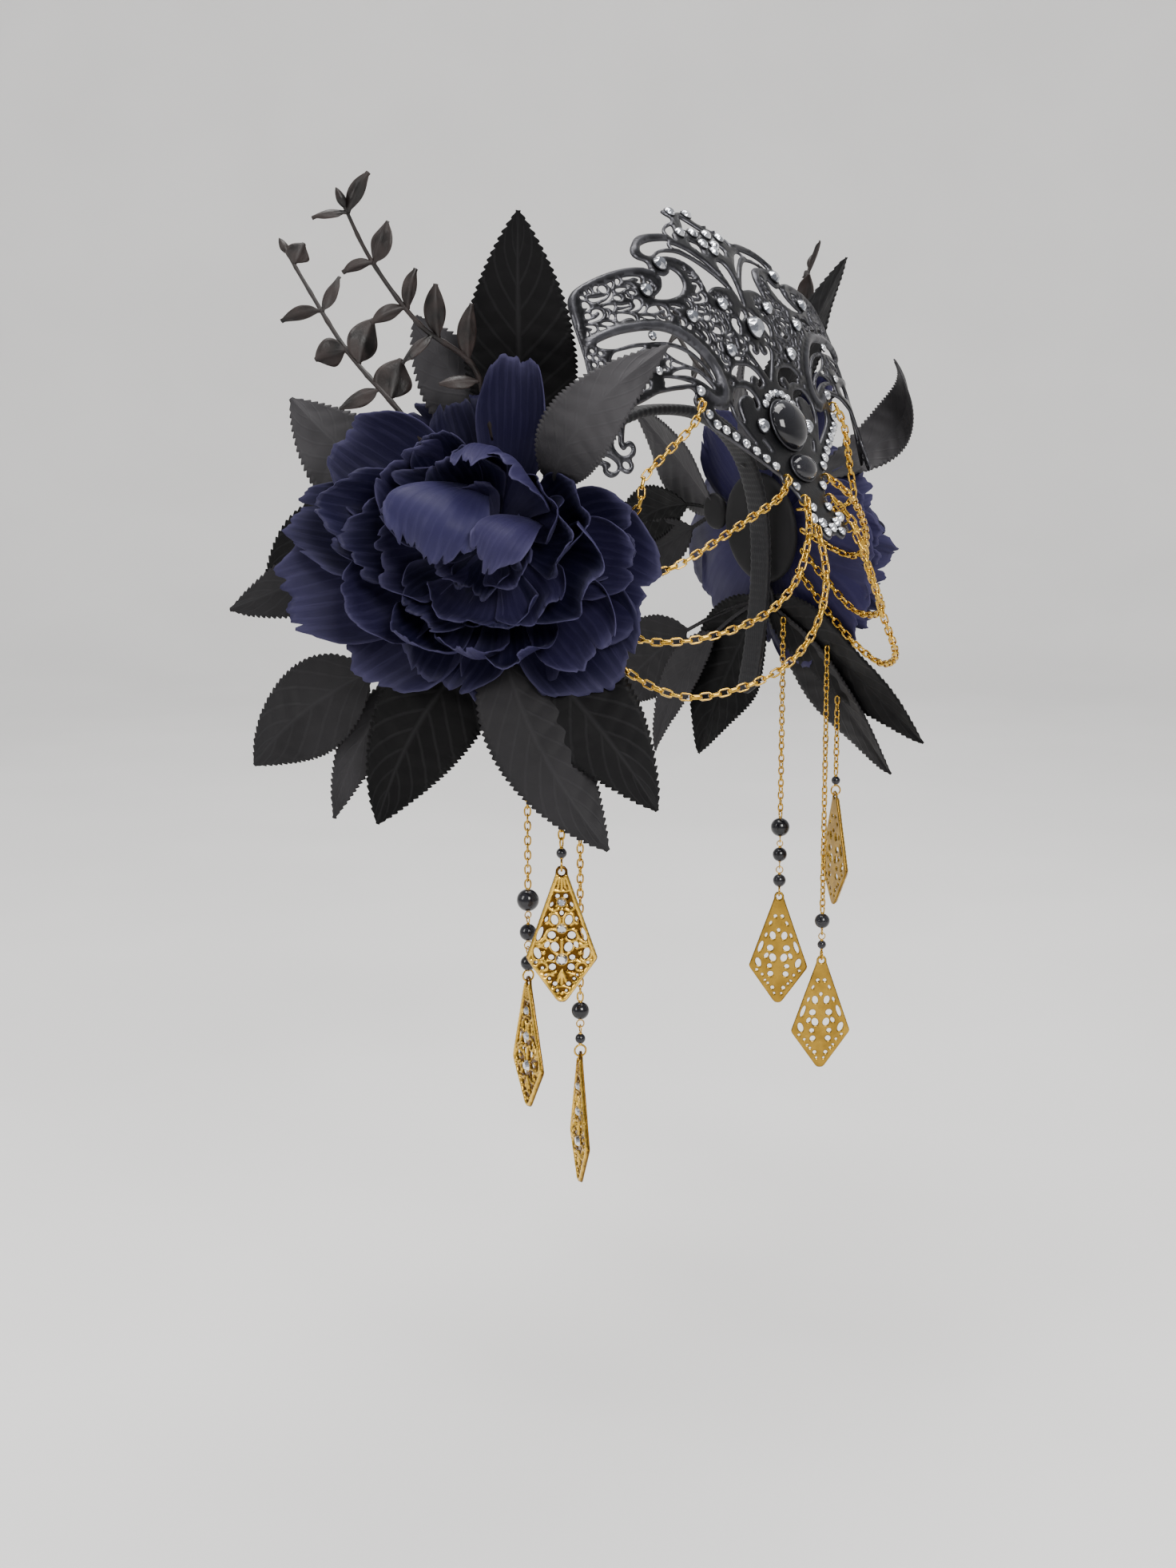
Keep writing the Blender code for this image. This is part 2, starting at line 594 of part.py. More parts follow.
def band_centre(t):
    """Middle line of the band, t from 0 at the top to 1 at its end near the ear."""
    a = t * math.radians(108.0)
    c = abs(math.cos(a)) ** (2 / 2.4) * (1 if math.cos(a) >= 0 else -1)
    s = math.sin(a) ** (2 / 2.4)
    mid = BAND_THICK / 2
    x = (BAND_HALF_WIDTH + mid) * s
    z = -BAND_DEPTH + (BAND_DEPTH + mid) * c
    return x, -5.0 - 0.10 * z, z


def head_band():
    steps = 14
    line = []
    for i in range(-steps, steps + 1):
        x, y, z = band_centre(abs(i) / steps)
        line.append(Vector((math.copysign(x, i) if i else 0.0, y, z)))
    rings = []
    for i, p in enumerate(line):
        along = (line[min(i + 1, len(line) - 1)] - line[max(i - 1, 0)]).normalized()
        side = Vector((0.0, 1.0, 0.0))
        side = (side - along * side.dot(along)).normalized()
        out = side.cross(along).normalized()
        end = 0.6 if i in (0, len(line) - 1) else 1.0
        hw, ht = BAND_WIDE / 2 * end, BAND_THICK / 2 * end
        rings.append([p + side * (hw * a) + out * (ht * b) for a, b in
                      ((-1, -1), (1, -1), (1, 0.5), (0, 1), (-1, 0.5))])
    parts = [rings_solid(rings)]
    # Struts that carry the crown and the flowers, hidden by the leaves
    for side in (-1.0, 1.0):
        end = on_plate(side * 81.0, 17.0, -2.2)
        path = [(side * 56.0, -3.0, -19.0), (side * 64.0, -8.0, -6.0),
                on_plate(side * 78.0, 14.0, -10.0), end]
        parts.append(tube(smooth_path(path, 2), 1.4, 6))
    return place("head_band", fuse("band", parts), "band_cloth")


# Flowers

def flower_frame(side):
    axis = Vector(FLOWER_AXIS).normalized()
    up = Vector((0.0, 0.0, 1.0))
    x = (up - axis * up.dot(axis)).normalized()
    y = axis.cross(x)
    return Vector(FLOWER_BASE), x, y, axis


# Petal layers: name, lift at the middle, slope, cup, petals, ruffle, turn
PETALS = [
    ("petals_outer", 3.2, 0.12, 9.0, 6, 3.4, 0.20),
    ("petals_middle", 4.95, 0.32, 14.0, 5, 2.6, 0.75),
    ("petals_inner", 6.65, 0.62, 14.0, 5, 2.0, 0.10),
]
# How far each layer reaches: degrees from up toward the back, mm
REACH = {
    "petals_outer": [(-180, 44), (-163, 58), (-135, 68), (-109, 69), (-82, 58), (-62, 40),
                     (-48, 33), (-33, 56), (-15, 59), (3, 51), (31, 50), (45, 56), (72, 58),
                     (97, 65), (119, 65), (142, 52), (160, 44)],
    "petals_middle": [(-180, 38), (-150, 50), (-110, 57), (-84, 44), (-62, 24), (-28, 24),
                      (-6, 42), (30, 42), (70, 50), (110, 55), (150, 42)],
    "petals_inner": [(-180, 34), (-120, 39), (-60, 28), (0, 36), (60, 38), (120, 38)],
}
CUP_AT = 64.0


def petal_height(layer, r, t):
    name, lift, slope, cup, count, ruffle, turn = PETALS[layer]
    q = r / (CUP_AT, 53.0, 38.0)[layer]
    wave = math.sin(count * t * 2 + turn * 5) * 0.5 + math.sin(count * t * 3 + 1.0 + turn) * 0.5
    return lift + slope * r + cup * q ** 3 + ruffle * wave * q ** 3


def petal_reach(layer, t):
    rows = REACH[PETALS[layer][0]]
    at = [row[0] for row in rows]
    reach = [row[1] for row in rows]
    return float(np.interp(math.degrees(t), at, reach, period=360.0))


def petal_layer(layer, side, suffix):
    name = PETALS[layer][0]
    origin, x, y, axis = flower_frame(side)
    n_t, n_r = 20, 3
    top, low = [], []
    for k in range(n_r + 1):
        f = (k / n_r) ** 0.9
        for i in range(n_t):
            t = 2 * math.pi * i / n_t
            r = max(f * petal_reach(layer, t), 0.6)
            h = petal_height(layer, r, t)
            flat = origin + x * (r * math.cos(t)) + y * (r * math.sin(t))
            thick = PETAL_WALL
            top.append(flat + axis * (h + thick))
            low.append(flat + axis * h)
    verts = top + low
    faces = []
    base = len(top)
    for k in range(n_r):
        for i in range(n_t):
            j = (i + 1) % n_t
            a, b = k * n_t + i, k * n_t + j
            c, d = (k + 1) * n_t + j, (k + 1) * n_t + i
            faces.append((a, b, c, d))
            faces.append((base + a, base + d, base + c, base + b))
    for i in range(n_t):
        j = (i + 1) % n_t
        a, b = n_r * n_t + i, n_r * n_t + j
        faces.append((a, b, base + b, base + a))
    faces.append(tuple(range(n_t)))
    faces.append(tuple(base + i for i in reversed(range(n_t))))
    verts = flip_side(verts, side)
    full = name + "_" + suffix
    return place(full, raw_mesh(full, verts, faces), "navy_silk")


def flower_heart(side, suffix):
    origin, x, y, axis = flower_frame(side)
    profile = [(1.2, 9.25), (8.0, 16.6), (13.0, 27.0), (13.0, 34.0), (6.0, 36.0)]
    verts, faces = lathe(origin, axis, profile, 12, x)
    name = "flower_heart_" + suffix
    return place(name, raw_mesh(name, flip_side(verts, side), faces), "navy_silk")


def flower_base(side, suffix):
    origin, x, y, axis = flower_frame(side)
    profile = [(20.0, -2.8), (22.0, -1.8), (22.0, 1.4), (16.0, 2.4), (3.0, 2.9)]
    verts, faces = lathe(origin, axis, profile, 16, x)
    name = "flower_base_" + suffix
    return place(name, raw_mesh(name, flip_side(verts, side), faces), "black_leaf")


# Leaves in the flower's frame (up, back, out): bend, tip, half width, side lean and the
# share of the length that is a bare stalk
LEAVES = {
    "leaf_spray_top": ((31, -6, -0.8), [
        ((61, -6.5, 15.5), (103, -14, 42.5), 19.0, 0.0, 0.0),
        ((52, 19, 4), (74, 27, 22), 14.0, 0.15, 0.0)]),
    "leaf_spray_back": ((6, 29.2, -0.8), [
        ((27, 57, 1), (50, 81, -2), 17.0, 0.2, 0.0),
        ((16, 75, -5), (-18, 94, -14), 11.5, 0.2, 0.2),
        ((-12, 70, -3), (-24, 108, -15), 12.0, 0.2, 0.2)]),
    "leaf_spray_low": ((-29.1, 2, -0.8), [
        ((-46, 71, -7), (-80, 98, -17), 17.0, 0.2, 0.4),
        ((-52, 56, -9), (-98, 67, -18), 9.0, 0.2, 0.3),
        ((-59, 34, 1), (-98.6, 47, -8.9), 20.0, 0.2, 0.0),
        ((-50, -32, 9), (-87.6, -61.6, 24.4), 18.0, -0.1, 0.0),
        ((-69.7, -15, 20), (-101.6, -44.7, 20.8), 16.0, -0.1, 0.0)]),
}
# The leaf that comes out between the petals toward the brow: root, bend, tip
LEAF_FRONT = ((18.0, -20.0, 12.4), (33.0, -35.5, 67.0), (62.5, -60.0, 24.0), 12.0)


def in_flower(spot):
    origin, x, y, axis = flower_frame(-1)
    return origin + x * spot[0] + y * spot[1] + axis * spot[2]


def leaf_solid(root, bend, tip, half, lean, steps=4, crease=0.14, stalk=0.0):
    """A pointed leaf, folded a little along its middle."""
    root, bend, tip = Vector(root), Vector(bend), Vector(tip)
    rings = []
    out0 = Vector((-0.86, -0.5, 0.1)).normalized()
    for i in range(steps + 1):
        t = i / steps
        p = root * (1 - t) ** 2 + bend * (2 * t * (1 - t)) + tip * t * t
        d = ((bend - root) * (1 - t) + (tip - bend) * t).normalized()
        out = (out0 - d * out0.dot(d)).normalized()
        wide = d.cross(out)
        out = (out + wide * lean).normalized()
        wide = d.cross(out).normalized()
        grown = min(max((t * 0.99 + 0.01 - stalk) / (1 - stalk), 0.0), 1.0)
        w = half * max(math.sin(math.pi * grown ** 0.8), 0.0) ** 0.8
        w = max(w, 0.8)
        fold = w * crease
        th = LEAF_HALF * (1.0 if w > 1.0 else 0.8)
        rings.append([p - wide * w - out * fold, p + out * th,
                      p + wide * w - out * fold, p - out * th])
    return rings_solid(rings)


def leaf_spray(name, side, suffix):
    hub, rows = LEAVES[name]
    axis = Vector(FLOWER_AXIS).normalized()
    middle = in_flower(hub)
    parts = [lathe(middle, axis, [(6.0, -1.8), (7.5, -1.0), (7.5, 0.8)], 10)]
    for k, (bend, tip, half, lean, stalk) in enumerate(rows):
        ahead = (in_flower(bend) - middle).normalized()
        root = middle + ahead * 2.6 + axis * (0.23 * k - 0.3)
        parts.append(leaf_solid(root, in_flower(bend), in_flower(tip), half, lean,
                                5 if stalk else 4, 0.14, stalk))
    mesh = fuse(name, [(flip_side(v, side), f) for v, f in parts])
    return place(name + "_" + suffix, mesh, "black_leaf")


def leaf_front(side, suffix):
    root, bend, tip, half = LEAF_FRONT
    verts, faces = leaf_solid(in_flower(root), in_flower(bend), in_flower(tip), half, 0.0, 6,
                              0.04)
    mesh = raw_mesh("leaf_front", flip_side(verts, side), faces)
    return place("leaf_front_" + suffix, mesh, "black_leaf")


# Twigs: stem points in the flower's frame, then leaves as (where on the stem, reach,
# width, turn)
TWIGS = {
    "twig_tall": ([(34, 2, 12.5), (56, 5, 25), (67.5, 18.5, 42), (86, 31, 54.5),
                   (105, 38, 67)],
                  [(0.12, 15, 6.0, 1), (0.20, 13, 5.0, -1), (0.28, 19, 6.0, 1),
                   (0.42, 17, 6.5, 1), (0.44, 14, 4.0, -1), (0.56, 13, 4.5, 1),
                   (0.57, 12, 4.5, -1), (0.73, 14, 7.5, 1), (0.74, 10, 3.5, -1),
                   (0.92, 14, 4.5, 1), (0.92, 11, 3.0, -1)]),
    "twig_short": ([(31, 24, 13.9), (44, 34, 19.5), (64, 54, 15), (87, 71, 11),
                    (103, 82, 8.4)],
                   [(0.28, 15, 12.0, 1), (0.33, 15, 6.0, -1), (0.44, 17, 10.0, 1),
                    (0.50, 11, 9.0, -1), (0.64, 14, 5.0, 1), (0.65, 14, 4.5, -1),
                    (0.86, 8, 8.0, 1)]),
}


def twig(name, side, suffix):
    stem, leaves = TWIGS[name]
    line = smooth_path([in_flower(spot) for spot in stem], 2)
    n = len(line) - 1
    radii = [1.3 - 0.65 * i / n for i in range(n + 1)]
    parts = [tube(line, radii, 5)]
    out0 = Vector((-0.75, -0.6, 0.15)).normalized()
    for where, reach, wide, turn in leaves:
        k = where * n
        i = min(int(k), n - 1)
        d = (line[i + 1] - line[i]).normalized()
        across = d.cross(out0).normalized() * turn
        p = line[i].lerp(line[i + 1], k - i) + across * 0.13
        go = (d * (0.75 if turn > 0 else 0.28) + across).normalized()
        tip = p + go * reach
        mid = p + go * reach * 0.5 + d * reach * 0.10 + out0 * 1.5
        parts.append(leaf_solid(p, mid, tip, wide * 0.55, 0.0, 3))
    mesh = fuse(name, [(flip_side(v, side), f) for v, f in parts])
    return place(name + "_" + suffix, mesh, "brown_twig")


# Forehead chains on the -X side: where each starts on the plate, then its run
CHAINS = {
    "chain_a": ((-45.2, 4.6), [(-50, -50.5, -2), (-55, -49, -7), (-64, -45.5, -15),
                               (-71.5, -42.5, -23), (-73.5, -41, -34), (-74.5, -17.5, -36)]),
    "chain_b": ((-13.4, -25.2), [(-20, -68, -26), (-30, -67, -31), (-44, -63, -38),
                                 (-58, -57, -46), (-70, -48, -53), (-74.5, -36, -52),
                                 (-75.4, -18.5, -44)]),
    "chain_c": ((-8.6, -33.4), [(-16.5, -74.8, -37), (-20, -76.5, -48), (-32, -75, -62),
                                (-48, -70, -70), (-64, -58, -75), (-75, -42, -74),
                                (-76.8, -18, -52)]),
    "chain_d": ((-12.2, -45.2), [(-14.5, -82, -51), (-17, -82, -58), (-26, -83, -74),
                                 (-42, -79, -86), (-58, -69, -92), (-71, -54, -93),
                                 (-77, -36, -82), (-79, -15, -60)]),
}
CHAIN_LIFT = 2.4


def chain(name, side, suffix):
    start, run = CHAINS[name]
    pts = even_path(smooth_path([on_plate(start[0], start[1], CHAIN_LIFT)] + run, 4), 9)
    data = bpy.data.curves.new(name, "CURVE")
    data.dimensions = "3D"
    data.bevel_depth = 1.0 * MM
    data.bevel_resolution = 2
    data.use_fill_caps = True
    data.fill_mode = "FULL"
    line = data.splines.new("POLY")
    line.points.add(len(pts) - 1)
    for k, p in enumerate(pts):
        x = p.x if side < 0 else -p.x
        line.points[k].co = (x * MM, p.y * MM, p.z * MM, 1.0)
    obj = bpy.data.objects.new(name + "_" + suffix, data)
    bpy.context.scene.collection.objects.link(obj)
    data.materials.append(PAINT["gold_chain"])
    return obj


# Drop strands: x, y, top of the chain, then (radius, height) beads, and the ring's height
STRANDS = {
    "a": {"x": -85.5, "y": -5.0, "top": -80.3, "beads": [(3.9, -167.0), (3.0, -178.5),
                                                         (2.7, -189.5)], "ring": -194.0,
          "face": -118.0},
    "b": {"x": -94.0, "y": -26.0, "top": -112.0, "beads": [(1.8, -146.5)], "ring": -150.6,
          "face": -54.0},
    "c": {"x": -84.0, "y": -26.5, "top": -90.5, "beads": [(3.1, -203.5), (1.8, -213.5)],
          "ring": -217.8, "face": -130.0},
}
RING_R = 2.0


def facing(degrees):
    a = math.radians(degrees)
    return Vector((math.sin(a), -math.cos(a), 0.0))


def drop_strand(key, side, suffix):
    """Chain, beads and the end ring, turned about a plumb line and fused."""
    row = STRANDS[key]
    chain_r = 0.9
    profile = [(chain_r, row["top"])]
    for r, z in row["beads"]:
        lift = math.sqrt(max(r * r - chain_r * chain_r, 0.0))
        profile.append((chain_r, z + lift))
        for a in (40, -8, -50):
            profile.append((r * math.cos(math.radians(a)), z + r * math.sin(math.radians(a))))
        profile.append((chain_r, z - lift))
    end = row["ring"] + RING_R + 0.1
    profile.append((chain_r * 0.8, end))
    clean = [profile[0]]
    for r, z in profile[1:]:
        if z < clean[-1][1] - 0.15:
            clean.append((r, z))
    spot = Vector((row["x"], row["y"], 0.0))
    parts = [lathe(spot, (0, 0, 1), list(reversed(clean)), 10, Vector((1.0, 0.0, 0.0)))]
    ring_face = facing(row["face"] + 90.0)
    parts.append(torus(spot + Vector((0, 0, row["ring"])), ring_face, RING_R, RING_WIRE,
                       10, 5))
    mesh = fuse("strand", [(flip_side(v, side), f) for v, f in parts])
    return place("strand_" + key + "_" + suffix, mesh, "gold_chain")


# Gaps of the stamping on its right half: u, v, half width, half height, turn
KITE_GAPS = [(-3.6, -20.0, 1.0, 3.4, -22), (-7.6, -28.4, 1.6, 3.6, -25),
             (-4.4, -36.6, 1.3, 3.2, 25)]


def kite(key, side, suffix):
    """A stamped kite with its eye, free to swing on the strand's ring."""
    row = STRANDS[key]
    drop = RING_R + 0.4
    eye_out, eye_in = 2.15, 1.2
    outer = []
    for i in range(6):
        a = math.radians(-55 + 290 * i / 5)
        outer.append((eye_out * math.cos(a), eye_out * math.sin(a)))
    side_line = [(-1.9, -3.0), (-4.2, -9.0), (-KITE_HALF, -KITE_CORNER), (-7.6, -38.0),
                 (-2.6, -KITE_TALL + 1.4)]
    outer += side_line + [(0.0, -KITE_TALL - 1.6)] + mirrored(side_line)
    holes = [[(eye_in * math.cos(math.radians(15 + 30 * i)),
               eye_in * math.sin(math.radians(15 + 30 * i))) for i in range(12)]]
    for gap in KITE_GAPS:
        holes.append(oval_loop(*gap))
        holes.append(mirrored(holes[-1]))
    parts = [fill_solid(outer, holes, KITE_WALL / 2)]
    parts.append(lathe((0.0, -28.0, 0.0), (0, 0, 1), [(2.4, -0.4), (2.4, 1.1), (1.5, 1.8)],
                       8))
    mesh = fuse("kite", parts)
    face = facing(row["face"])
    along = Vector((0.0, 0.0, 1.0)).cross(face).normalized()
    eye = Vector((row["x"], row["y"], row["ring"] - drop))
    flip = -1.0 if side > 0 else 1.0
    for vert in mesh.vertices:
        u, v, w = vert.co
        p = eye + along * u + Vector((0.0, 0.0, v)) + face * w
        vert.co = Vector((p.x * flip, p.y, p.z))
    spot = Vector((eye.x * flip, eye.y, eye.z))
    return place("kite_" + key + "_" + suffix, mesh, "gold_stamping", spot)


def build():
    head_band()
    crown_plate()
    dome("big_cabochon", 0.0, -4.6, 9.6, 9.2, 6.0, "black_glass")
    dome("small_cabochon", 0.0, -21.0, 6.9, 4.8, 4.0, "black_glass")
    cut_stone("stone_centre", 0.0, 32.4, 4.1, PLATE_HALF + STONE_GAP, 12)
    for suffix, side in SIDES:
        for name, u, v, r in MAIN_STONES:
            cut_stone(name + "_" + suffix, u * -side, v, r, PLATE_HALF + STONE_GAP, 8)
        flower_base(side, suffix)
        for layer in range(len(PETALS)):
            petal_layer(layer, side, suffix)
        flower_heart(side, suffix)
        for name in LEAVES:
            leaf_spray(name, side, suffix)
        leaf_front(side, suffix)
        for name in TWIGS:
            twig(name, side, suffix)
        for name in CHAINS:
            chain(name, side, suffix)
        for key in STRANDS:
            drop_strand(key, side, suffix)
            kite(key, side, suffix)


build()
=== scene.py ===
"""Dressed diadem: pierced black crown plate with clear stones, ribbed hoop, silk peonies
with leaves and twigs, gold forehead chains and kite drops.

Lengths are in millimetres until a mesh is filled, and the frame is in metres. The tables
describe the wearer's right half (the -X side); the left half is its mirror image.
"""
import math
import bpy
import numpy as np
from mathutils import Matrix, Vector
from mathutils.geometry import delaunay_2d_cdt


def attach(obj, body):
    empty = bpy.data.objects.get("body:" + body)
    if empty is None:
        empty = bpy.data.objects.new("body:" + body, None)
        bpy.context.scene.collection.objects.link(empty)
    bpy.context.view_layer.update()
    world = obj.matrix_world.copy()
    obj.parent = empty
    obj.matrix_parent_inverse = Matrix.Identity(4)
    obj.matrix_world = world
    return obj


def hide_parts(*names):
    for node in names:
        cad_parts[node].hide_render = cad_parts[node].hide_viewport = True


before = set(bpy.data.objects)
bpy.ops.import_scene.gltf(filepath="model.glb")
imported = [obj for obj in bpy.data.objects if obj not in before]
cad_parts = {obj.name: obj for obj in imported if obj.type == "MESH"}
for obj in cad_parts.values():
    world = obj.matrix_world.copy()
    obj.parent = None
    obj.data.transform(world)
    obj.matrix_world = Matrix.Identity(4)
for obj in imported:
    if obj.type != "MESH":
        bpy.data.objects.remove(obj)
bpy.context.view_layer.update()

MM = 0.001
ROOT_BODY = "diadem"
UP = np.array([0.0, 0.0, 1.0])

# Camera, at the photograph's angle: place, heading, pitch, and lens from its focal length
CAMERA_PLACE = (-0.6455, -0.4379, -0.0089)
CAMERA_HEADING = (0.809, 0.588)
CAMERA_PITCH = math.radians(-9.4)
SENSOR = 36.0
FOCAL_PER_HEIGHT = 2600 / 1962


def put(name, data):
    """Links an object with this data to the scene."""
    obj = bpy.data.objects.new(name, data)
    bpy.context.scene.collection.objects.link(obj)
    return obj


def set_camera():
    data = bpy.data.cameras.new("view")
    data.sensor_fit, data.sensor_height = "VERTICAL", SENSOR
    data.lens = FOCAL_PER_HEIGHT * SENSOR
    flat = math.cos(CAMERA_PITCH)
    look = Vector((CAMERA_HEADING[0] * flat, CAMERA_HEADING[1] * flat, math.sin(CAMERA_PITCH)))
    camera = put("view", data)
    camera.location = CAMERA_PLACE
    camera.rotation_euler = look.to_track_quat("-Z", "Y").to_euler()
    bpy.context.scene.camera = camera


set_camera()


# Mesh filling

def part(verts, faces, mat=0, **attrs):
    """One closed shell of a piece: points, faces as index arrays, its finish's number and
    its values for the finish."""
    return {"verts": np.asarray(verts, float).reshape(-1, 3), "faces": faces, "mat": mat,
            "attrs": attrs}


def fill_mesh(name, parts, flip, smooth):
    """Joins shells into one mesh. flip -1 mirrors it to the other side of the head and
    turns its faces round, so that they still point outwards."""
    verts = np.concatenate([p["verts"] for p in parts]) * MM * (flip, 1, 1)
    corners, sizes, mats, base = [], [], [], 0
    for p in parts:
        for f in p["faces"]:
            corners.append(((f if flip > 0 else f[:, ::-1]) + base).ravel())
            sizes.append(np.full(len(f), f.shape[1]))
            mats.append(np.full(len(f), p["mat"]))
        base += len(p["verts"])
    corners, sizes, mats = (np.concatenate(a).astype(np.int32) for a in (corners, sizes, mats))
    mesh = bpy.data.meshes.new(name)
    mesh.vertices.add(len(verts))
    mesh.vertices.foreach_set("co", verts.astype(np.float32).ravel())
    mesh.loops.add(len(corners))
    mesh.loops.foreach_set("vertex_index", corners)
    mesh.polygons.add(len(sizes))
    mesh.polygons.foreach_set("loop_start", (np.cumsum(sizes) - sizes).astype(np.int32))
    mesh.polygons.foreach_set("loop_total", sizes)
    mesh.polygons.foreach_set("material_index", mats)
    mesh.polygons.foreach_set("use_smooth", np.full(len(sizes), smooth))
    for key in sorted({k for p in parts for k in p["attrs"]}):
        values = [np.broadcast_to(np.ravel(p["attrs"].get(key, 0.0)), len(p["verts"]))
                  for p in parts]
        layer = mesh.attributes.new(key, "FLOAT", "POINT")
        layer.data.foreach_set("value", np.concatenate(values).astype(np.float32))
    mesh.update(calc_edges=True)
    mesh.validate()
    return mesh


def piece(node, parts, slots, side="", name=None, body=ROOT_BODY):
    """Dresses a CAD node: the shells take the finishes of slots in turn, and the first is the
    piece's own slot. A piece with no node of its own has a name only."""
    name = name or (node + side).replace("_", "-")
    mesh = fill_mesh(name, parts, -1.0 if side == "_l" else 1.0, slots[0] != "clear_stone")
    for slot in slots:
        mesh.materials.append(FINISHES[slot])
    obj = put(name, mesh)
    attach(obj, body)
    if node:
        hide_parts(node + side)


# Surfaces from arrays

def unit(v):
    return v / np.maximum(np.linalg.norm(v, axis=-1, keepdims=True), 1e-9)


def lean_back(v, go):
    """The part of v square to go, at unit length."""
    return unit(v - go * (v * go).sum(-1, keepdims=True))


def turns(count, shift=0.0):
    """Angles at equal steps round a full turn."""
    return (np.arange(count) + shift) / count * 2 * np.pi


def grid_faces(n, m, wrap=False):
    """Quads of an n by m grid, rows first; wrap joins the last column to the first."""
    i = np.arange(n * m).reshape(n, m)
    i = np.concatenate([i, i[:, :1]], axis=1) if wrap else i
    return np.stack([i[:-1, :-1], i[1:, :-1], i[1:, 1:], i[:-1, 1:]], -1).reshape(-1, 4)


def ring_faces(n, m):
    """Quads of n rings of m points, the last ring joined to the first."""
    i = np.arange(n * m).reshape(n, m)
    j = np.roll(i, -1, 0)
    return np.stack([i, j, np.roll(j, -1, 1), np.roll(i, -1, 1)], -1).reshape(-1, 4)


def tube_faces(n, m):
    """Quads of n rings of m points, with a flat cap over the first and the last ring."""
    cap = np.arange(m)[None]
    return [grid_faces(n, m, True)[:, ::-1], cap[:, ::-1], cap + (n - 1) * m]


def sheet_wall(sheet, thick):
    """A sheet of points (rows, columns, 3) as a thin closed wall: the sheet is moved half
    its thickness along its own normal to each side, and a strip closes the rim."""
    n, m = sheet.shape[:2]
    half = unit(np.cross(np.gradient(sheet, axis=0), np.gradient(sheet, axis=1))) * thick / 2
    verts = np.concatenate([(sheet + half).reshape(-1, 3), (sheet - half).reshape(-1, 3)])
    front = grid_faces(n, m)
    i = np.arange(n * m).reshape(n, m)
    rim = np.concatenate([i[:, 0], i[-1, 1:], i[-2::-1, -1], i[0, -2:0:-1]])
    after = np.roll(rim, -1)
    strip = np.stack([rim, rim + n * m, after + n * m, after], -1)
    return verts, [front, front[:, ::-1] + n * m, strip]


def sheet_values(rows, cols, **values):
    """Values of a sheet's grid, given alike to both faces of its wall."""
    return {key: np.tile(np.broadcast_to(value, (rows, cols)).ravel(), 2)
            for key, value in values.items()}


def along_path(path, out):
    """Frame of a path: its direction, and the two axes across it, the first as near to
    out as it can be."""
    go = unit(np.gradient(path, axis=0))
    first = lean_back(out, go)
    return go, first, np.cross(go, first)


def round_tube(path, radius, sides, out=(0.13, -0.21, 0.97)):
    """A profile circle carried along a path; each ring's radius may differ. The ends are
    closed with flat caps."""
    a, b = along_path(path, np.array(out))[1:]
    t = turns(sides)[:, None]
    radius = np.broadcast_to(radius, len(path))[:, None, None]
    verts = path[:, None] + (a[:, None] * np.cos(t) + b[:, None] * np.sin(t)) * radius
    return verts, tube_faces(len(path), sides)


def ring_loop(centre, axis, radius, wire, n_ring=20, n_wire=8):
    """A torus: a wire circle carried round a ring."""
    seed = UP if abs(axis[2]) < 0.9 else np.array([1.0, 0.0, 0.0])
    x = unit(np.cross(seed, axis))
    t, q = turns(n_ring)[:, None], turns(n_wire)
    out = x * np.cos(t) + np.cross(axis, x) * np.sin(t)
    verts = (centre + out[:, None] * (radius + wire * np.cos(q))[None, :, None]
             + axis * (wire * np.sin(q))[None, :, None])
    return verts, [ring_faces(n_ring, n_wire)]


def turned(origin, axis, start, profile, sides):
    """A lathe: (radius, height) pairs turned about an axis, closed at both ends."""
    x = lean_back(np.asarray(start, float), axis)
    profile = np.asarray(profile, float)[:, :, None, None]
    t = turns(sides)[:, None]
    out = x * np.cos(t) + np.cross(axis, x) * np.sin(t)
    return (origin + out * profile[:, 0] + axis * profile[:, 1],
            tube_faces(len(profile), sides))


def catmull_rom(a, b, c, d, t):
    """The cubic from b to c whose slopes there follow c - a and d - b."""
    a, b, c, d = (v[:, None] for v in (a, b, c, d))
    t = t[None, :, None]
    run = 0.5 * (2 * b + (c - a) * t + (2 * a - 5 * b + 4 * c - d) * t ** 2
                 + (3 * b - a - 3 * c + d) * t ** 3)
    return run.reshape(-1, b.shape[-1])


def spline(points, steps):
    """Catmull-Rom run through a few points, worked out for all spans at once."""
    p = np.asarray(points, float)
    p = np.concatenate([[2 * p[0] - p[1]], p, [2 * p[-1] - p[-2]]])
    run = catmull_rom(p[:-3], p[1:-2], p[2:-1], p[3:], np.arange(steps) / steps)
    return np.concatenate([run, p[-2:-1]])


def closed_spline(points, gap):
    """Smooth closed loop through a few points, with a point about every gap."""
    run = catmull_rom(np.roll(points, 1, 0), points, np.roll(points, -1, 0),
                      np.roll(points, -2, 0), np.arange(8) / 8)
    return even(run, gap=gap, loop=True)


def path_length(points):
    return np.linalg.norm(np.diff(points, axis=0), axis=-1).sum()


def even(points, count=None, gap=None, loop=False):
    """Points at equal distances along a run."""
    p = np.asarray(points, float)
    p = np.concatenate([p, p[:1]]) if loop else p
    run = np.concatenate([[0.0], np.cumsum(np.linalg.norm(np.diff(p, axis=0), axis=1))])
    count = count or max(5 if loop else 2, int(round(run[-1] / gap)))
    want = np.linspace(0, run[-1], count, endpoint=not loop)
    return np.stack([np.interp(want, run, column) for column in p.T], -1)


# Crown surface: a leaning profile swept sideways along a gentle bow, as in the source.
# PROFILE is y as a polynomial of z; the bow tightens from WING_START over WING_RAMP

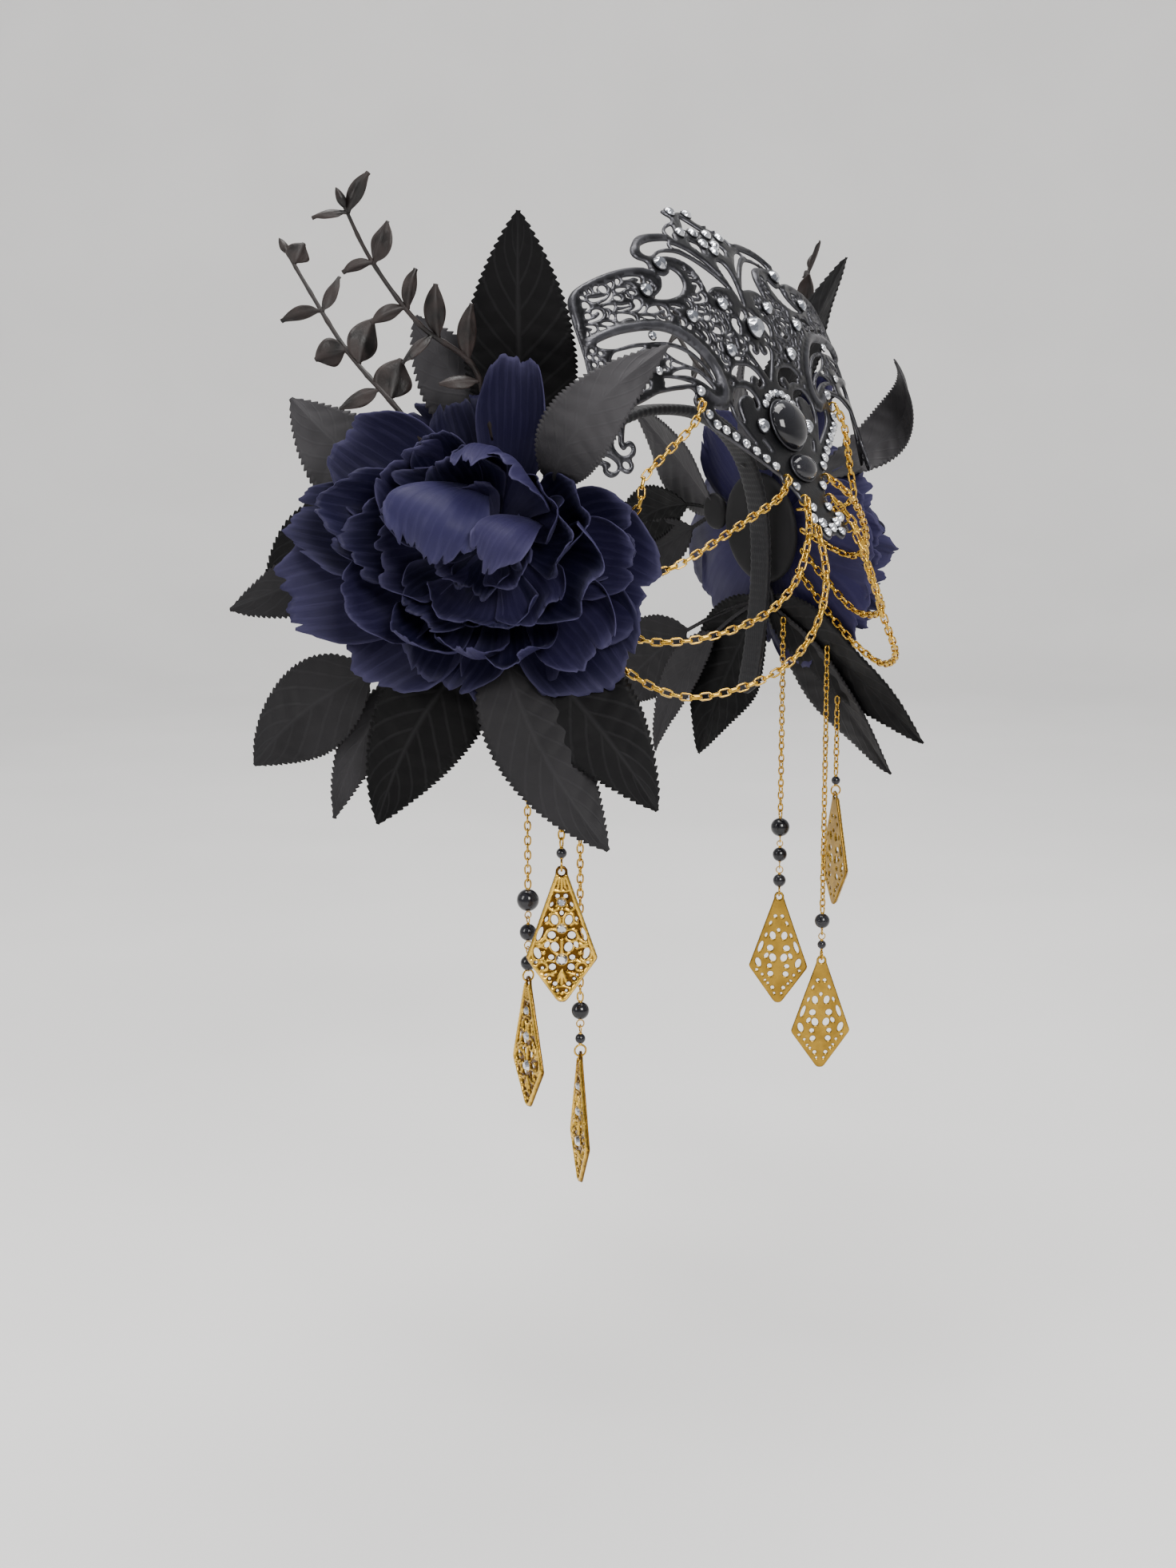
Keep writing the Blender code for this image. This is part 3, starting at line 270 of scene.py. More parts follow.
PROFILE = (2.43e-7, 5.3e-5, -0.00172, 0.395, -53.1)
FRONT_RADIUS = 260.0
WING_START = 60.0
WING_RAMP = 15.0
WING_CURVE = 1.0 / 90.0
PLATE_HALF = 0.65
BOW_STEP = 0.05


def arc_tables():
    """Tables that turn distances along the plate into places."""
    z = np.linspace(-62.0, 100.0, 3241)
    run = np.cumsum(np.hypot(np.diff(z), np.diff(np.polyval(PROFILE, z))))
    run = np.concatenate([[0.0], run])
    s = np.arange(0.0, 140.0, BOW_STEP)
    bend = 1.0 / FRONT_RADIUS + WING_CURVE * np.clip((s - WING_START) / WING_RAMP, 0.0, 1.0)
    turn, out, back = np.zeros((3, len(s)))
    turn[1:] = np.cumsum(bend[:-1] * BOW_STEP)
    out[1:] = np.cumsum(np.cos(turn[:-1]) * BOW_STEP)
    back[1:] = np.cumsum(np.sin(turn[:-1]) * BOW_STEP)
    return z, run - np.interp(0.0, z, run), s, turn, out, back


ARC_Z, ARC_RUN, ARC_S, ARC_TURN, ARC_OUT, ARC_BACK = arc_tables()


def on_plate(u, v, w=0.0):
    """Places on the crown: u across, v up along the plate, w out of its front."""
    u, v, w = np.broadcast_arrays(*(np.asarray(k, float) for k in (u, v, w)))
    z = np.interp(v, ARC_RUN, ARC_Z)
    lean = np.arctan(np.polyval(np.polyder(PROFILE), z))
    turn, x, d = (np.interp(np.abs(u), ARC_S, k) for k in (ARC_TURN, ARC_OUT, ARC_BACK))
    x = x + w * np.sin(turn)
    d = d - w * np.cos(turn)
    return np.stack([np.sign(u) * x, np.polyval(PROFILE, z) + d * np.cos(lean),
                     z - d * np.sin(lean)], -1)


def plate_axes(u, v):
    """The plate's own axes at places: across, up and out."""
    out = unit(on_plate(u, v, 1.0) - on_plate(u, v))
    up = unit(on_plate(u, np.asarray(v) + 0.5) - on_plate(u, np.asarray(v) - 0.5))
    across = unit(np.cross(up, out))
    return across, np.cross(out, across), out


# Crown edge on the right half, from the peak down to the tip: u, v, u, v

EDGE = [0, 87, -2.6, 87.6, -5.5, 88, -8.3, 87.2, -8.2, 85, -6.8, 83.4, -8.6, 81.2, -12, 79.6,
        -15.5, 78.4, -18.6, 76.6, -20.8, 74.4, -21.6, 72.6, -25, 73, -30, 73.2, -35, 72.7,
        -39.5, 71.2, -43, 68.8, -45.8, 66.2, -46.9, 63.6, -45.8, 61.6, -43.3, 60.4,
        -42.5, 58.8, -43.2, 57, -42.9, 55.8, -44.5, 56.6, -48.3, 57.7, -53, 57.9, -58, 57.6,
        -62.8, 57, -68.3, 56, -73, 54.9, -78.3, 53.4, -82.4, 51.4, -85.2, 47.6, -86.4, 40,
        -86.8, 31, -87.2, 22, -88.6, 14, -91.6, 6, -95.6, -1, -99, -6, -100.8, -9.8,
        -96.7, -9.2, -94, -9.5, -92.2, -10.3, -92.7, -11.7, -92.2, -13.2, -91, -14.2,
        -89.7, -14.4, -88.2, -14, -86.7, -13, -85.7, -14, -84.2, -14.6, -82.6, -13.9,
        -81.5, -12.3, -81.7, -10.7, -81, -9.9, -80, -9.5, -79, -8.2, -78.6, -6.8, -79, -5.3,
        -80, -4.5, -81.2, -4.5, -82.2, -4.9, -81.7, -3.3, -81, -1.7, -80.2, 0, -78, 3.2,
        -74.5, 5.9, -69, 7.5, -62.8, 9.4, -58.7, 9.9, -54.5, 10.2, -50.3, 10.3, -46.6, 10.4,
        -44.8, 8.6, -46.5, 6.9, -46.7, 4.6, -45.3, 3.2, -44.4, -0.2, -42.4, -3.8, -38.4, -6.6,
        -34.4, -9.2, -30.2, -12, -26, -15, -21.8, -18, -17.6, -21.4, -15.2, -23.2,
        -14.8, -25.4, -12.9, -26.6, -11.2, -28, -9.6, -31, -9, -33.4, -7.6, -35.2,
        -7.4, -37.4, -9.6, -38.3, -12, -40.1, -12.4, -42.2, -13.2, -44.2, -12.5, -46.3,
        -10.4, -46.7, -8.6, -45.8, -7.3, -47.7, -5.4, -49.3, -3, -48.8, -1.8, -47.6,
        0, -47.8]

# Gaps on the right half, cut through: name, then u, v round each edge
GAPS = {
    "rim_crescent": [-41, 52.6, -41.1, 50.7, -42.4, 48.7, -44.5, 47, -46.8, 45.7, -49.5, 44.7,
        -47, 43.9, -42.8, 43.7, -39.1, 44.2, -35.7, 45.1, -32.8, 46.8, -30.5, 49.1, -29.6, 51.6,
        -29.9, 54.1, -31.4, 55.8, -32.6, 56.4, -33.5, 55.7, -34.9, 54.3, -37.4, 53.5, -39.5, 53.9,
        -41, 54.1],
    "under_band": [-81.2, 29.1, -80.7, 29.9, -78.2, 30.7, -73.2, 31.7, -67, 32.3, -60.3, 32.5,
        -54.5, 32.2, -50.3, 31.5, -46.2, 30, -42, 27.4, -38.2, 24.3, -35.3, 21, -33.2, 17.4,
        -32.1, 14.1, -32.4, 11.4, -32.9, 12.4, -33.9, 15.3, -36.2, 19.1, -39.1, 22.2, -42.8, 24.9,
        -47, 26.6, -51.2, 27.5, -54.9, 27.8, -60.3, 27.9, -64.9, 28, -69.5, 27.6, -74.5, 26.9,
        -78.2, 27.4, -80.1, 28],
    "arch_left": [-79.3, 20.3, -78, 22.6, -76.4, 24.7, -74.5, 25.7, -70.3, 26.2, -66.2, 26.6, -62,
        26.5, -64.9, 25.3, -68.7, 23.7, -73.7, 21.9],
    "arch_right": [-54.3, 26, -52, 26.1, -47.8, 25.4, -43.2, 23.5, -39.5, 21, -36.6, 17.8, -34.3,
        14.1, -34.3, 12.4, -35.7, 13.7, -38.2, 16, -41.6, 17.8, -45.3, 19.1, -49.1, 20.7, -52,
        22.8, -53.9, 24.7],
    "slit_upper": [-53.5, 15.7, -51, 16.8, -47.4, 17.4, -44.1, 17.2, -40.7, 16, -38.2, 14.1,
        -36.2, 11.8, -34.9, 9.8, -36.4, 10.1, -39.1, 12, -42.4, 13.7, -46.2, 14.9, -50.3, 15.4],
    "slit_lower": [-57.8, 14.7, -54.5, 14.6, -50.3, 13.9, -46.6, 12.8, -44.5, 12.1, -47.8, 12,
        -52.4, 11.9, -56.2, 11.7, -58.7, 11.5, -58, 13],
    "hidden_slot": [-78.6, 13.4, -76, 15.2, -72.5, 16.1, -68, 15.2, -65, 13.6, -65.6, 11.9, -69,
        11.4, -73.5, 10.9, -77, 11.6],
    "arm": [-92.6, -1.2, -91.6, 2.8, -89.6, 8, -87.2, 12, -83.4, 14.6, -81.6, 13.2, -81.4, 8.4,
        -83.4, 4.2, -86.6, 1.2, -90.4, -2.4],
    "foot_right": [-83.3, -1.8, -84.3, -2.2, -85.7, -3.7, -86.2, -5.3, -85.8, -7, -84.7, -8.5,
        -83, -8.9, -81.3, -8.3, -80.2, -7.3, -80.3, -6.3, -81.2, -6.1, -82, -6.5, -83, -7.1,
        -83.8, -6.3, -84.2, -5, -83.8, -3.3],
    "foot_left": [-94.2, -7.7, -92.3, -7, -90.3, -7.5, -88.5, -8.7, -87.2, -10.7, -87.7, -12.2,
        -89.3, -12.9, -90.7, -12.3, -91, -11.5, -90, -11.3, -89.4, -10.5, -90, -9.5, -91.7, -8.5],
    "comma": [-23, 14.8, -21.6, 16.6, -18.8, 18, -14.8, 18.3, -10.8, 17.8, -7.6, 16, -5.6, 13.6,
        -5.3, 11.6, -6.8, 10.4, -8.8, 10.3, -9.6, 11, -8, 11.8, -7.8, 13.2, -9.6, 14.4, -11.6, 14,
        -12.6, 12.2, -13.2, 11.9, -16, 12.6, -18, 12.8, -20.2, 12.4, -20.6, 13.6, -21.6, 14.5],
    "hook": [-27.2, 4, -26.4, 6.4, -24.4, 8.8, -21.2, 10, -17.6, 9.9, -14.8, 8.8, -13, 6.8, -12.4,
        4.6, -12.6, 2.8, -14.8, 2.2, -14.4, 4, -15, 6, -16.8, 7, -19.2, 7.2, -22, 6.2, -24, 4.4,
        -24.6, 1.6, -24.4, -1.2, -24.4, -2.8, -25.6, -2, -26.8, 0.4],
    "corner": [-38, 3.2, -36, 2.6, -33.6, 2.2, -31.2, 2.6, -29, 3.4, -28.8, 0.8, -27.6, -2, -26,
        -4.4, -24, -7.6, -21.8, -10.8, -24.8, -9, -28.2, -6.8, -31.4, -4.8, -34.8, -2.4, -37.2,
        0.2],
    "tear": [-17.6, -9.8, -16.6, -10, -14.8, -12.8, -14.4, -14, -16, -12.8],
    "fan_inner": [-36.4, 61.8, -34.4, 62.8, -32, 63.8, -29.2, 64.2, -25.2, 64.1, -22, 63.4, -18.8,
        61.8, -15.6, 59.6, -12.8, 57.2, -10, 54.6, -7.6, 52, -5.6, 49.6, -4.6, 48.2, -6.4, 48.4,
        -10, 48.8, -13.2, 48.6, -16, 47.8, -18.4, 46.4, -19.2, 46.2, -19, 49.2, -19.4, 53.2,
        -20.6, 56.4, -22.8, 59.2, -25.6, 60.8, -28.8, 61.6, -32, 61.9, -34.4, 61.7],
    "fan_top": [-41.8, 64.2, -41.4, 65.6, -39.6, 67.4, -36.4, 68.6, -32.4, 69.4, -27.6, 69.8,
        -22.4, 69.8, -23.6, 68.8, -24.6, 67.2, -24.8, 65.8, -27.6, 65.6, -31.2, 65.1, -34.4, 64.2,
        -36.8, 63, -38.8, 62.4, -40.6, 62.8],
    "fan_slot": [-23.4, 66.8, -22.4, 67.8, -21.2, 67.8, -18.8, 66.8, -15.6, 65, -12.8, 62.4,
        -10.4, 60, -8.4, 57.2, -6.8, 54.8, -6, 53.6, -6.8, 54, -9.2, 56.6, -12.4, 59.6, -16, 62.4,
        -20, 65.2, -22.4, 65.8],
    "peak_loop": [-19.6, 73.2, -19, 74.8, -16.8, 76.4, -14, 77.6, -11.4, 78.4, -12.4, 76.4, -14,
        74.6, -16, 73.6, -17.2, 71.6, -18, 70.4, -19.4, 71.4],
    "peak_leaf": [-10.6, 68.4, -9.6, 70, -7.6, 69.6, -5.2, 68.4, -5.6, 66, -7.2, 63.8, -9.2, 65.2,
        -10.6, 66.8],
}
# Gaps across the middle, right half of each from the top down
MIDDLE = {
    "heart": [0, 26, -0.6, 25.2, -0.9, 23.6, -2.6, 22.4, -4.4, 23.2, -4.7, 24.6, -3.6, 25.6, -4.8,
        26.3, -6.4, 25.8, -7.2, 24.4, -6.8, 23, -5.6, 20.8, -3.8, 18.2, -2, 15.6, -0.8, 13.6, 0,
        12.9],
    "drop": [0, 60.8, -1.8, 60.2, -2.9, 58.4, -3.2, 56, -2.9, 53, -2.3, 50, -1.6, 47, -1, 44.5, 0,
        41.2],
    "peak": [0, 84, -2.4, 81.6, -5, 78.4, -6.8, 76.2, -3, 76.2, 0, 76.4],
}
# Small gaps of the lace, as u, v round each edge
LACE = [
    [-71.4, 50.7, -69.9, 52, -68, 51.8, -67.8, 49.9, -69.3, 48.7, -70.7, 49],
    [-73.5, 49.9, -73, 51.6, -71.6, 52.4, -70.5, 52, -71.8, 51.1, -72.1, 49.5],
    [-77.8, 49.5, -77.4, 50.8, -76.5, 51, -76.8, 49.5],
    [-76.8, 47.8, -73.7, 47.4, -69.9, 47.6, -68.5, 48.2, -69.7, 47, -72.4, 46.2,
     -75.3, 45.8, -76.9, 46.4],
    [-74.3, 44.7, -70.3, 45.7, -67.8, 47.4, -66.2, 49.1, -66.2, 48, -68.2, 46, -71.2, 44.8],
    [-67.2, 53, -66, 52.6, -63.9, 53, -64.5, 51.6, -66, 50.4, -66.6, 51.8],
    [-63, 51.2, -62.4, 53.2, -60.7, 54.1, -60.1, 53.2, -61.4, 51.8],
    [-58.9, 53, -58.2, 54.1, -56.2, 54.4, -52.8, 54.3, -50.3, 53.7, -49.7, 52.2, -51, 51,
     -52.8, 51.1, -53.5, 52, -52.2, 52, -51.8, 52.7, -53.7, 53.5, -56.2, 53],
    [-49.3, 50.5, -47.8, 51.8, -46.7, 51.4, -47.2, 50.3, -48.7, 50],
    [-64.7, 48.7, -63.7, 49.9, -60.7, 50.1, -58.7, 49.6, -60.7, 49, -63.2, 48.2],
    [-59.3, 51.1, -57.4, 51.1, -56, 50.1, -55.8, 49.4, -57.8, 50.3],
    [-61.4, 46, -61, 47.3, -60.1, 47.2, -60.3, 46.2, -58.7, 45.3, -60.7, 45.3],
    [-73.2, 43, -71.2, 43.7, -68, 43.5, -68.5, 42.2, -69.9, 41.2, -71, 42.4],
    [-67, 43.2, -64.5, 43, -61.2, 43.2, -62.8, 42.3, -66.8, 42.4],
    [-67.9, 41.2, -64.9, 41.4, -61.2, 42, -63.2, 41.2, -67, 40.6],
    [-62.8, 40.2, -60.3, 41, -59.1, 42.2, -59.3, 43.7, -58, 44.8, -56.2, 44.7, -55.7, 43.2,
     -56.6, 41.8, -58.7, 40.7, -61, 40.2],
    [-59.3, 39.2, -57.4, 40.3, -55.7, 41.6, -54.1, 41.9, -54.9, 40.5, -57, 39.3],
    [-54.9, 39.1, -53.7, 40.5, -51.2, 41.5, -47.8, 41.6, -45.7, 40.7, -45.1, 39.1,
     -45.7, 37.6, -47.4, 37, -48.9, 37.4, -48.2, 38.7, -47, 38.2, -46.4, 39.3, -47.4, 39.7,
     -49.5, 39.3, -52, 38.7],
    [-51.4, 37.4, -50.3, 38, -49.9, 37, -48.2, 36.2, -46.2, 36.6, -44.3, 37, -45.7, 35.7,
     -48.7, 35.4, -50.5, 36.2],
    [-58.5, 37.9, -56.2, 38, -53.2, 37.6, -51.8, 36.6, -54.5, 36.5, -56.6, 36.8],
    [-59.9, 36.5, -58.7, 37.4, -57.4, 36.8],
    [-69.3, 36.8, -68.5, 39.7, -65.3, 39.7, -62, 38.7, -61, 37.4, -61.8, 36.2, -62.8, 37.4,
     -65.3, 37.6],
    [-72.6, 38.2, -71.2, 39.9, -69.9, 39.9, -69.9, 38.5, -71.2, 37.8],
    [-76.4, 36.8, -74.5, 37.5, -72, 37, -71.2, 36, -74.1, 35.7],
    [-78.5, 41.2, -77.6, 42.6, -75.7, 43, -74.1, 42, -74.1, 40.3, -75.7, 39, -78.2, 38.3,
     -81.2, 38.2, -79.9, 39.2, -77.4, 39.5, -75.5, 40.7, -76, 41.8, -77.2, 41.2],
    [-81.4, 39.9, -81, 41.8, -79.2, 42, -78.8, 40.7, -79.9, 39.9],
    [-73.4, 38.9, -72.6, 40, -72.6, 41.8, -71.8, 41.2, -72.2, 39.7],
    [-80.3, 42.8, -79, 44, -80.7, 44.3, -80.1, 46.6, -78.5, 46.8, -77.6, 45.3, -78, 43.7],
    [-82.6, 37, -81.2, 37.3, -78.9, 36.6, -79, 34.9, -81.2, 34, -81.8, 34.7, -80.5, 35.5],
    [-77.8, 34.5, -77.6, 36, -74.7, 35.1], [-83.5, 33.2, -82.6, 35.3, -82.2, 34],
    [-43.9, 39.5, -42, 39.5, -39.9, 37.4, -42, 37.4],
    [-42.8, 41, -39.9, 41.2, -37, 40.2, -39.5, 39.9],
    [-59.7, 24.5, -58.7, 25.8, -57.2, 24.9, -57.6, 23.9, -58.7, 23.2, -59.9, 23.6],
    [-57.8, 21.8, -55.3, 23.6, -53.5, 22.2, -55.7, 21.9],
    [-65.4, 22.8, -62, 24.1, -61, 22.8, -62.8, 21.7, -64.5, 21.8],
    [-72.7, 20.3, -70.3, 21.5, -68.2, 21, -68.7, 19.8, -71.2, 19.6],
    [-67.6, 22, -65.7, 21.8, -65, 20.5, -66, 19.7, -67, 21],
    [-52.4, 19.5, -51, 20.4, -49.1, 19.7, -47, 18.9, -49.5, 18.3, -51.8, 18.6],
    [-54.9, 19.9, -53.5, 21, -51.8, 21, -52.8, 19.9, -53, 18.2, -54.5, 18.7],
    [-57.2, 17.3, -56.2, 18.3, -54.9, 17.6],
    [-27.8, 35.4, -26.8, 37, -23.4, 37, -26, 35.1],
    [-31.5, 38.5, -30.2, 40.7, -29.6, 40.2, -30.9, 38.4],
    [-23.5, 39, -23.2, 41.4, -22.1, 40.8, -22.4, 39],
    [-24, 35.4, -23, 34.4, -21.4, 34.8, -21, 36.2, -21.6, 37.2, -22, 36],
    [-26.4, 31.8, -24.8, 31.2, -24, 32, -23.4, 32.8, -21.2, 32.4, -20.4, 31.2, -21.2, 29.9,
     -24, 30, -25.6, 30.6],
    [-19.8, 30.4, -19.4, 32.8, -18.2, 33.4, -18.2, 31.2, -19, 30.2],
    [-16.6, 31.4, -16.2, 34, -16.6, 36.4, -15.8, 38, -15, 37.8, -15.4, 36.4, -15.2, 33.6,
     -15.8, 31.2],
    [-14.2, 36, -14.4, 38, -13.4, 37.6, -13.4, 36.2],
    [-12, 35.2, -10.4, 36.2, -7.8, 36, -8.4, 34.4, -8, 32.8, -8.6, 32, -9.8, 30, -11.6, 30.8,
     -12.6, 32.6, -12.6, 34],
    [-6, 36.6, -2.4, 39.6, -1.5, 37.6, -4, 36, -5.4, 35.4],
    [-27.5, 30.2, -26.4, 30.4, -25.6, 27.6, -26.8, 27.4],
    [-31.2, 34.8, -29.6, 34.6, -28.4, 32.4, -29.6, 32.6],
    [-31.2, 31, -29.8, 31.2, -28.8, 29.6, -29.2, 27.2, -30.6, 26.2, -31.8, 27.2,
     -30.6, 27.4, -30, 28.4, -30.6, 29.6],
    [-38.6, 32.4, -36, 33.8, -35.4, 33, -36.8, 31.6],
    [-35.6, 30.4, -34.4, 30.6, -32.8, 28.8, -34.2, 29],
    [-25.8, 25.2, -24.8, 26.6, -23.6, 26.8, -24.4, 25.6, -24, 23.8, -25, 23.6],
    [-26.4, 21.6, -24.8, 22.4, -25.4, 21, -24.4, 19.2, -22.2, 19, -24, 18.2, -26, 19.4],
    [-18, 20.2, -17.6, 21.4, -14, 21.4, -14.2, 20.2],
    [-9.6, 20, -7.8, 20.2, -5.8, 18.2, -7.6, 18.4],
    [-15.4, 25.2, -15.2, 27.2, -13.8, 28.4, -14.4, 26.8, -14.2, 24.8],
    [-12, 24, -9.6, 25, -8.6, 25.8, -9.2, 24.4, -11.2, 23.7],
    [-18.3, 29.2, -16, 30.2, -14, 30.4, -16, 29.5],
    [-25.6, 49.6, -24.4, 50.6, -22, 50.2, -21.6, 48, -23.2, 47, -25.6, 45.8, -26, 46.4,
     -24, 48.2, -23.4, 49.2],
    [-24.4, 45.2, -22.4, 46, -21.6, 44.4, -22.8, 42.6, -26, 41.8, -29.2, 41.8, -28.8, 42.6,
     -25.2, 42.8, -23.8, 44],
    [-34, 43, -32.4, 42.4, -32, 40.4, -32.8, 40, -33.4, 41.6],
]
# Round gaps: u, v, radius across, radius up
ROUND = [
    (-79, 48.6, 1, 1), (-75, 50.4, 0.6, 1.1), (-46.9, 48.7, 0.8, 0.8),
    (-57.7, 47.5, 1.5, 0.9), (-65.3, 46, 1.8, 1.1), (-39.9, 34.5, 1.5, 1.5),
    (-82.7, 24.7, 0.85, 0.85), (-85, 25.6, 0.85, 0.85), (-83.4, 27.6, 0.85, 0.85),
    (-80.6, 26.2, 0.85, 0.85), (-81.6, 22.5, 0.85, 0.85), (-84.2, 22.5, 0.85, 0.85),
    (-30.2, 36.5, 1.9, 0.6), (-27.4, 38.6, 1.9, 0.6), (-25.8, 40.4, 1.3, 0.5),
    (-20.4, 39, 1.1, 0.7), (-25.1, 33.6, 1, 1), (-28.9, 24.8, 0.8, 0.8),
    (-27.3, 23, 0.9, 0.9), (-23.2, 20.6, 0.7, 0.7), (-10.2, 20.9, 0.7, 0.7),
    (-12.9, 22.8, 1.2, 0.5), (-16.2, 22.9, 0.7, 0.7), (-10.2, 27.3, 1.3, 0.9),
    (-6.8, 28.5, 1.2, 0.9), (-18.4, 27.6, 1.2, 0.5), (-20.6, 26.6, 0.6, 0.6),
    (-23.4, 28.3, 1.2, 0.5), (-25.2, 16.6, 0.7, 0.7), (-24.6, 11.7, 0.7, 0.7),
    (-18.8, 35.4, 0.8, 0.8), (-18, 38, 0.8, 0.8), (-11.8, 38.8, 1.4, 0.7),
    (-16.8, 44.6, 1, 0.5), (-14, 45.5, 0.6, 0.6), (-12, 44.8, 0.7, 0.7),
    (-9.8, 44.6, 0.5, 0.5), (-10, 42, 1.6, 0.6), (-26, 56.2, 0.7, 0.7),
    (-24, 54, 1.2, 0.4), (-24, 52.4, 1.4, 0.5), (-27.6, 44.5, 1.6, 0.6),
    (-30.8, 43.4, 0.9, 0.9), (-32.9, 33, 0.5, 0.9), (-84.2, -11.8, 1.3, 1.3),
    (-44.6, 5.2, 0.9, 0.9), (-12.8, -24.8, 0.8, 0.8), (-7.7, -33.2, 0.7, 0.7),
    (-11.4, -44.9, 0.8, 0.8),
]
# Raised ribs: half width, height, then u, v along the middle line
RIBS = {
    "band": (1.5, 0.95, [-84, 30.3, -78, 32.3, -72, 33.5, -66, 34, -59, 34.2, -52, 33.6, -46,
        32.1, -40.5, 29, -35.5, 24.3, -31.8, 19.5, -30, 14.5, -29.6, 9.5, -31.3, 6.2, -34.5, 5,
        -37.5, 6.2, -39.8, 8]),
    "rim": (1.1, 0.7, [-43.4, 54.6, -46.4, 55.6, -50, 56.4, -56, 56.3, -62, 55.6, -68, 54.6, -74,
        53.2, -80.6, 50.8, -84, 46, -85.2, 38]),
    "top_line": (0.9, 0.6, [-22.4, 71.4, -27, 71.6, -32.4, 71.3, -37.4, 70.1, -41.8, 67.6, -44.6,
        64.9]),
    "fan_line": (0.9, 0.6, [-36, 60, -31, 60.4, -26.4, 59.2, -22.8, 56.6, -21.2, 53, -21, 48.8]),
    "peak_line": (0.9, 0.6, [-6.6, 86, -7.4, 83, -10.4, 79.9, -15, 77.5]),
    "low_edge": (0.8, 0.5, [-29.6, -9.6, -25.6, -12.6, -20.6, -16.4]),
    "curl": (1.0, 0.65, [-44.4, 46.4, -41.8, 49.4, -42.2, 52.4]),
    "wing_line": (0.8, 0.5, [-84.6, 20.5, -79.6, 18.2, -72.4, 17.9, -66, 18, -60.4, 17.9]),
}


def pairs(flat):
    return np.asarray(flat, float).reshape(-1, 2)


def mirrored(points):
    return points * (-1.0, 1.0)


def mirror_join(half):
    """A loop from its right half, given from the top down."""
    half = pairs(half)
    return np.concatenate([half, mirrored(half)[-2:0:-1]])


def both(loops):
    return loops + [mirrored(loop)[::-1] for loop in loops]


def circle(u, v, ru, rv, sides=12):
    t = turns(sides)
    return np.stack([u + ru * np.cos(t), v + rv * np.sin(t)], -1)


def far_from(points, a, b, chunk=1500):
    """Distance of each point to the nearest of many straight edges a to b."""
    edge = b - a
    size = np.maximum((edge ** 2).sum(-1), 1e-12)
    out = np.empty(len(points))
    for k in range(0, len(points), chunk):
        rel = points[k:k + chunk, None] - a[None]
        t = np.clip((rel * edge).sum(-1) / size, 0, 1)[..., None]
        out[k:k + chunk] = np.sqrt(((rel - t * edge) ** 2).sum(-1).min(1))
    return out


def within(points, loop):
    """Even-odd test of points against one loop."""
    (ax, ay), (bx, by) = loop.T, np.roll(loop, -1, 0).T
    x, y = points[:, None, 0], points[:, None, 1]
    at = (bx - ax) * (y - ay) / np.where(by == ay, 1e-9, by - ay) + ax
    return ((((ay > y) != (by > y)) & (x < at)).sum(1) % 2).astype(bool)


def web_points(edge, pitch):
    """Rows of points a pitch apart inside a loop, every other row moved half a pitch."""
    low, high = edge.min(0), edge.max(0)
    web = np.stack(np.meshgrid(np.arange(low[0], high[0], pitch),
                               np.arange(low[1], high[1], pitch * 0.87)), -1)
    web[1::2, :, 0] += pitch / 2
    web = web.reshape(-1, 2)
    return web[within(web, edge)]


def cut_sheet(edge, gaps, pitch):
    """A flat sheet with gaps as triangles between the loops' points and a web of points,
    all turned the same way, and each point's distance to the nearest edge."""
    points = np.concatenate([edge] + gaps)
    ends = np.cumsum([len(loop) for loop in [edge] + gaps])
    nxt = np.arange(1, len(points) + 1)
    nxt[ends - 1] = np.concatenate([[0], ends[:-1]])
    web = web_points(edge, pitch)
    web = web[far_from(web, points, points[nxt]) > pitch * 0.45]
    made = delaunay_2d_cdt([Vector(p) for p in np.concatenate([points, web])],
                           np.stack([np.arange(len(points)), nxt], -1).tolist(), [], 1, 1e-5)
    flat, tris = np.array([p[:] for p in made[0]]), np.array(made[2])
    mid = flat[tris].mean(1)
    keep = within(mid, edge)
    for loop in gaps:
        near = ((mid > loop.min(0) - 0.1) & (mid < loop.max(0) + 0.1)).all(1) & keep
        inside = np.flatnonzero(near)
        keep[inside[within(mid[inside], loop)]] = False
    used, tris = np.unique(tris[keep], return_inverse=True)
    tris, flat = tris.reshape(-1, 3), flat[used]
    ab, ac = flat[tris[:, 1]] - flat[tris[:, 0]], flat[tris[:, 2]] - flat[tris[:, 0]]
    wrong = ab[:, 0] * ac[:, 1] < ab[:, 1] * ac[:, 0]
    tris[wrong] = tris[wrong][:, ::-1]
    return flat, tris, far_from(flat, points, points[nxt])


def pierced(edge, gaps, ribs, pitch, half, rounding):
    """Pierced sheet metal. Each point's front height is the half thickness less a quarter
    round toward the nearest edge, plus each rib's half round by its distance from the
    rib's middle line. Gives flat places, front and back heights, triangles, the distance
    to the edge and the ribs' height."""
    flat, tris, away = cut_sheet(edge, gaps, pitch)
    fall = 1 - np.clip(away / rounding, 0, 1)
    front = half - 0.7 * half * (1 - np.sqrt(1 - fall ** 2 * 0.999))
    back = -half + 0.3 * half * fall ** 2
    lift = np.zeros(len(flat))
    for wide, high, line in ribs:
        line = spline(line, 8)
        d = far_from(flat, line[:-1], line[1:]) / wide
        lift = np.maximum(lift, high * np.sqrt(1 - np.clip(d, 0, 1) ** 2))
    return flat, front + lift * np.clip(away / 0.3, 0, 1), back, tris, away, lift


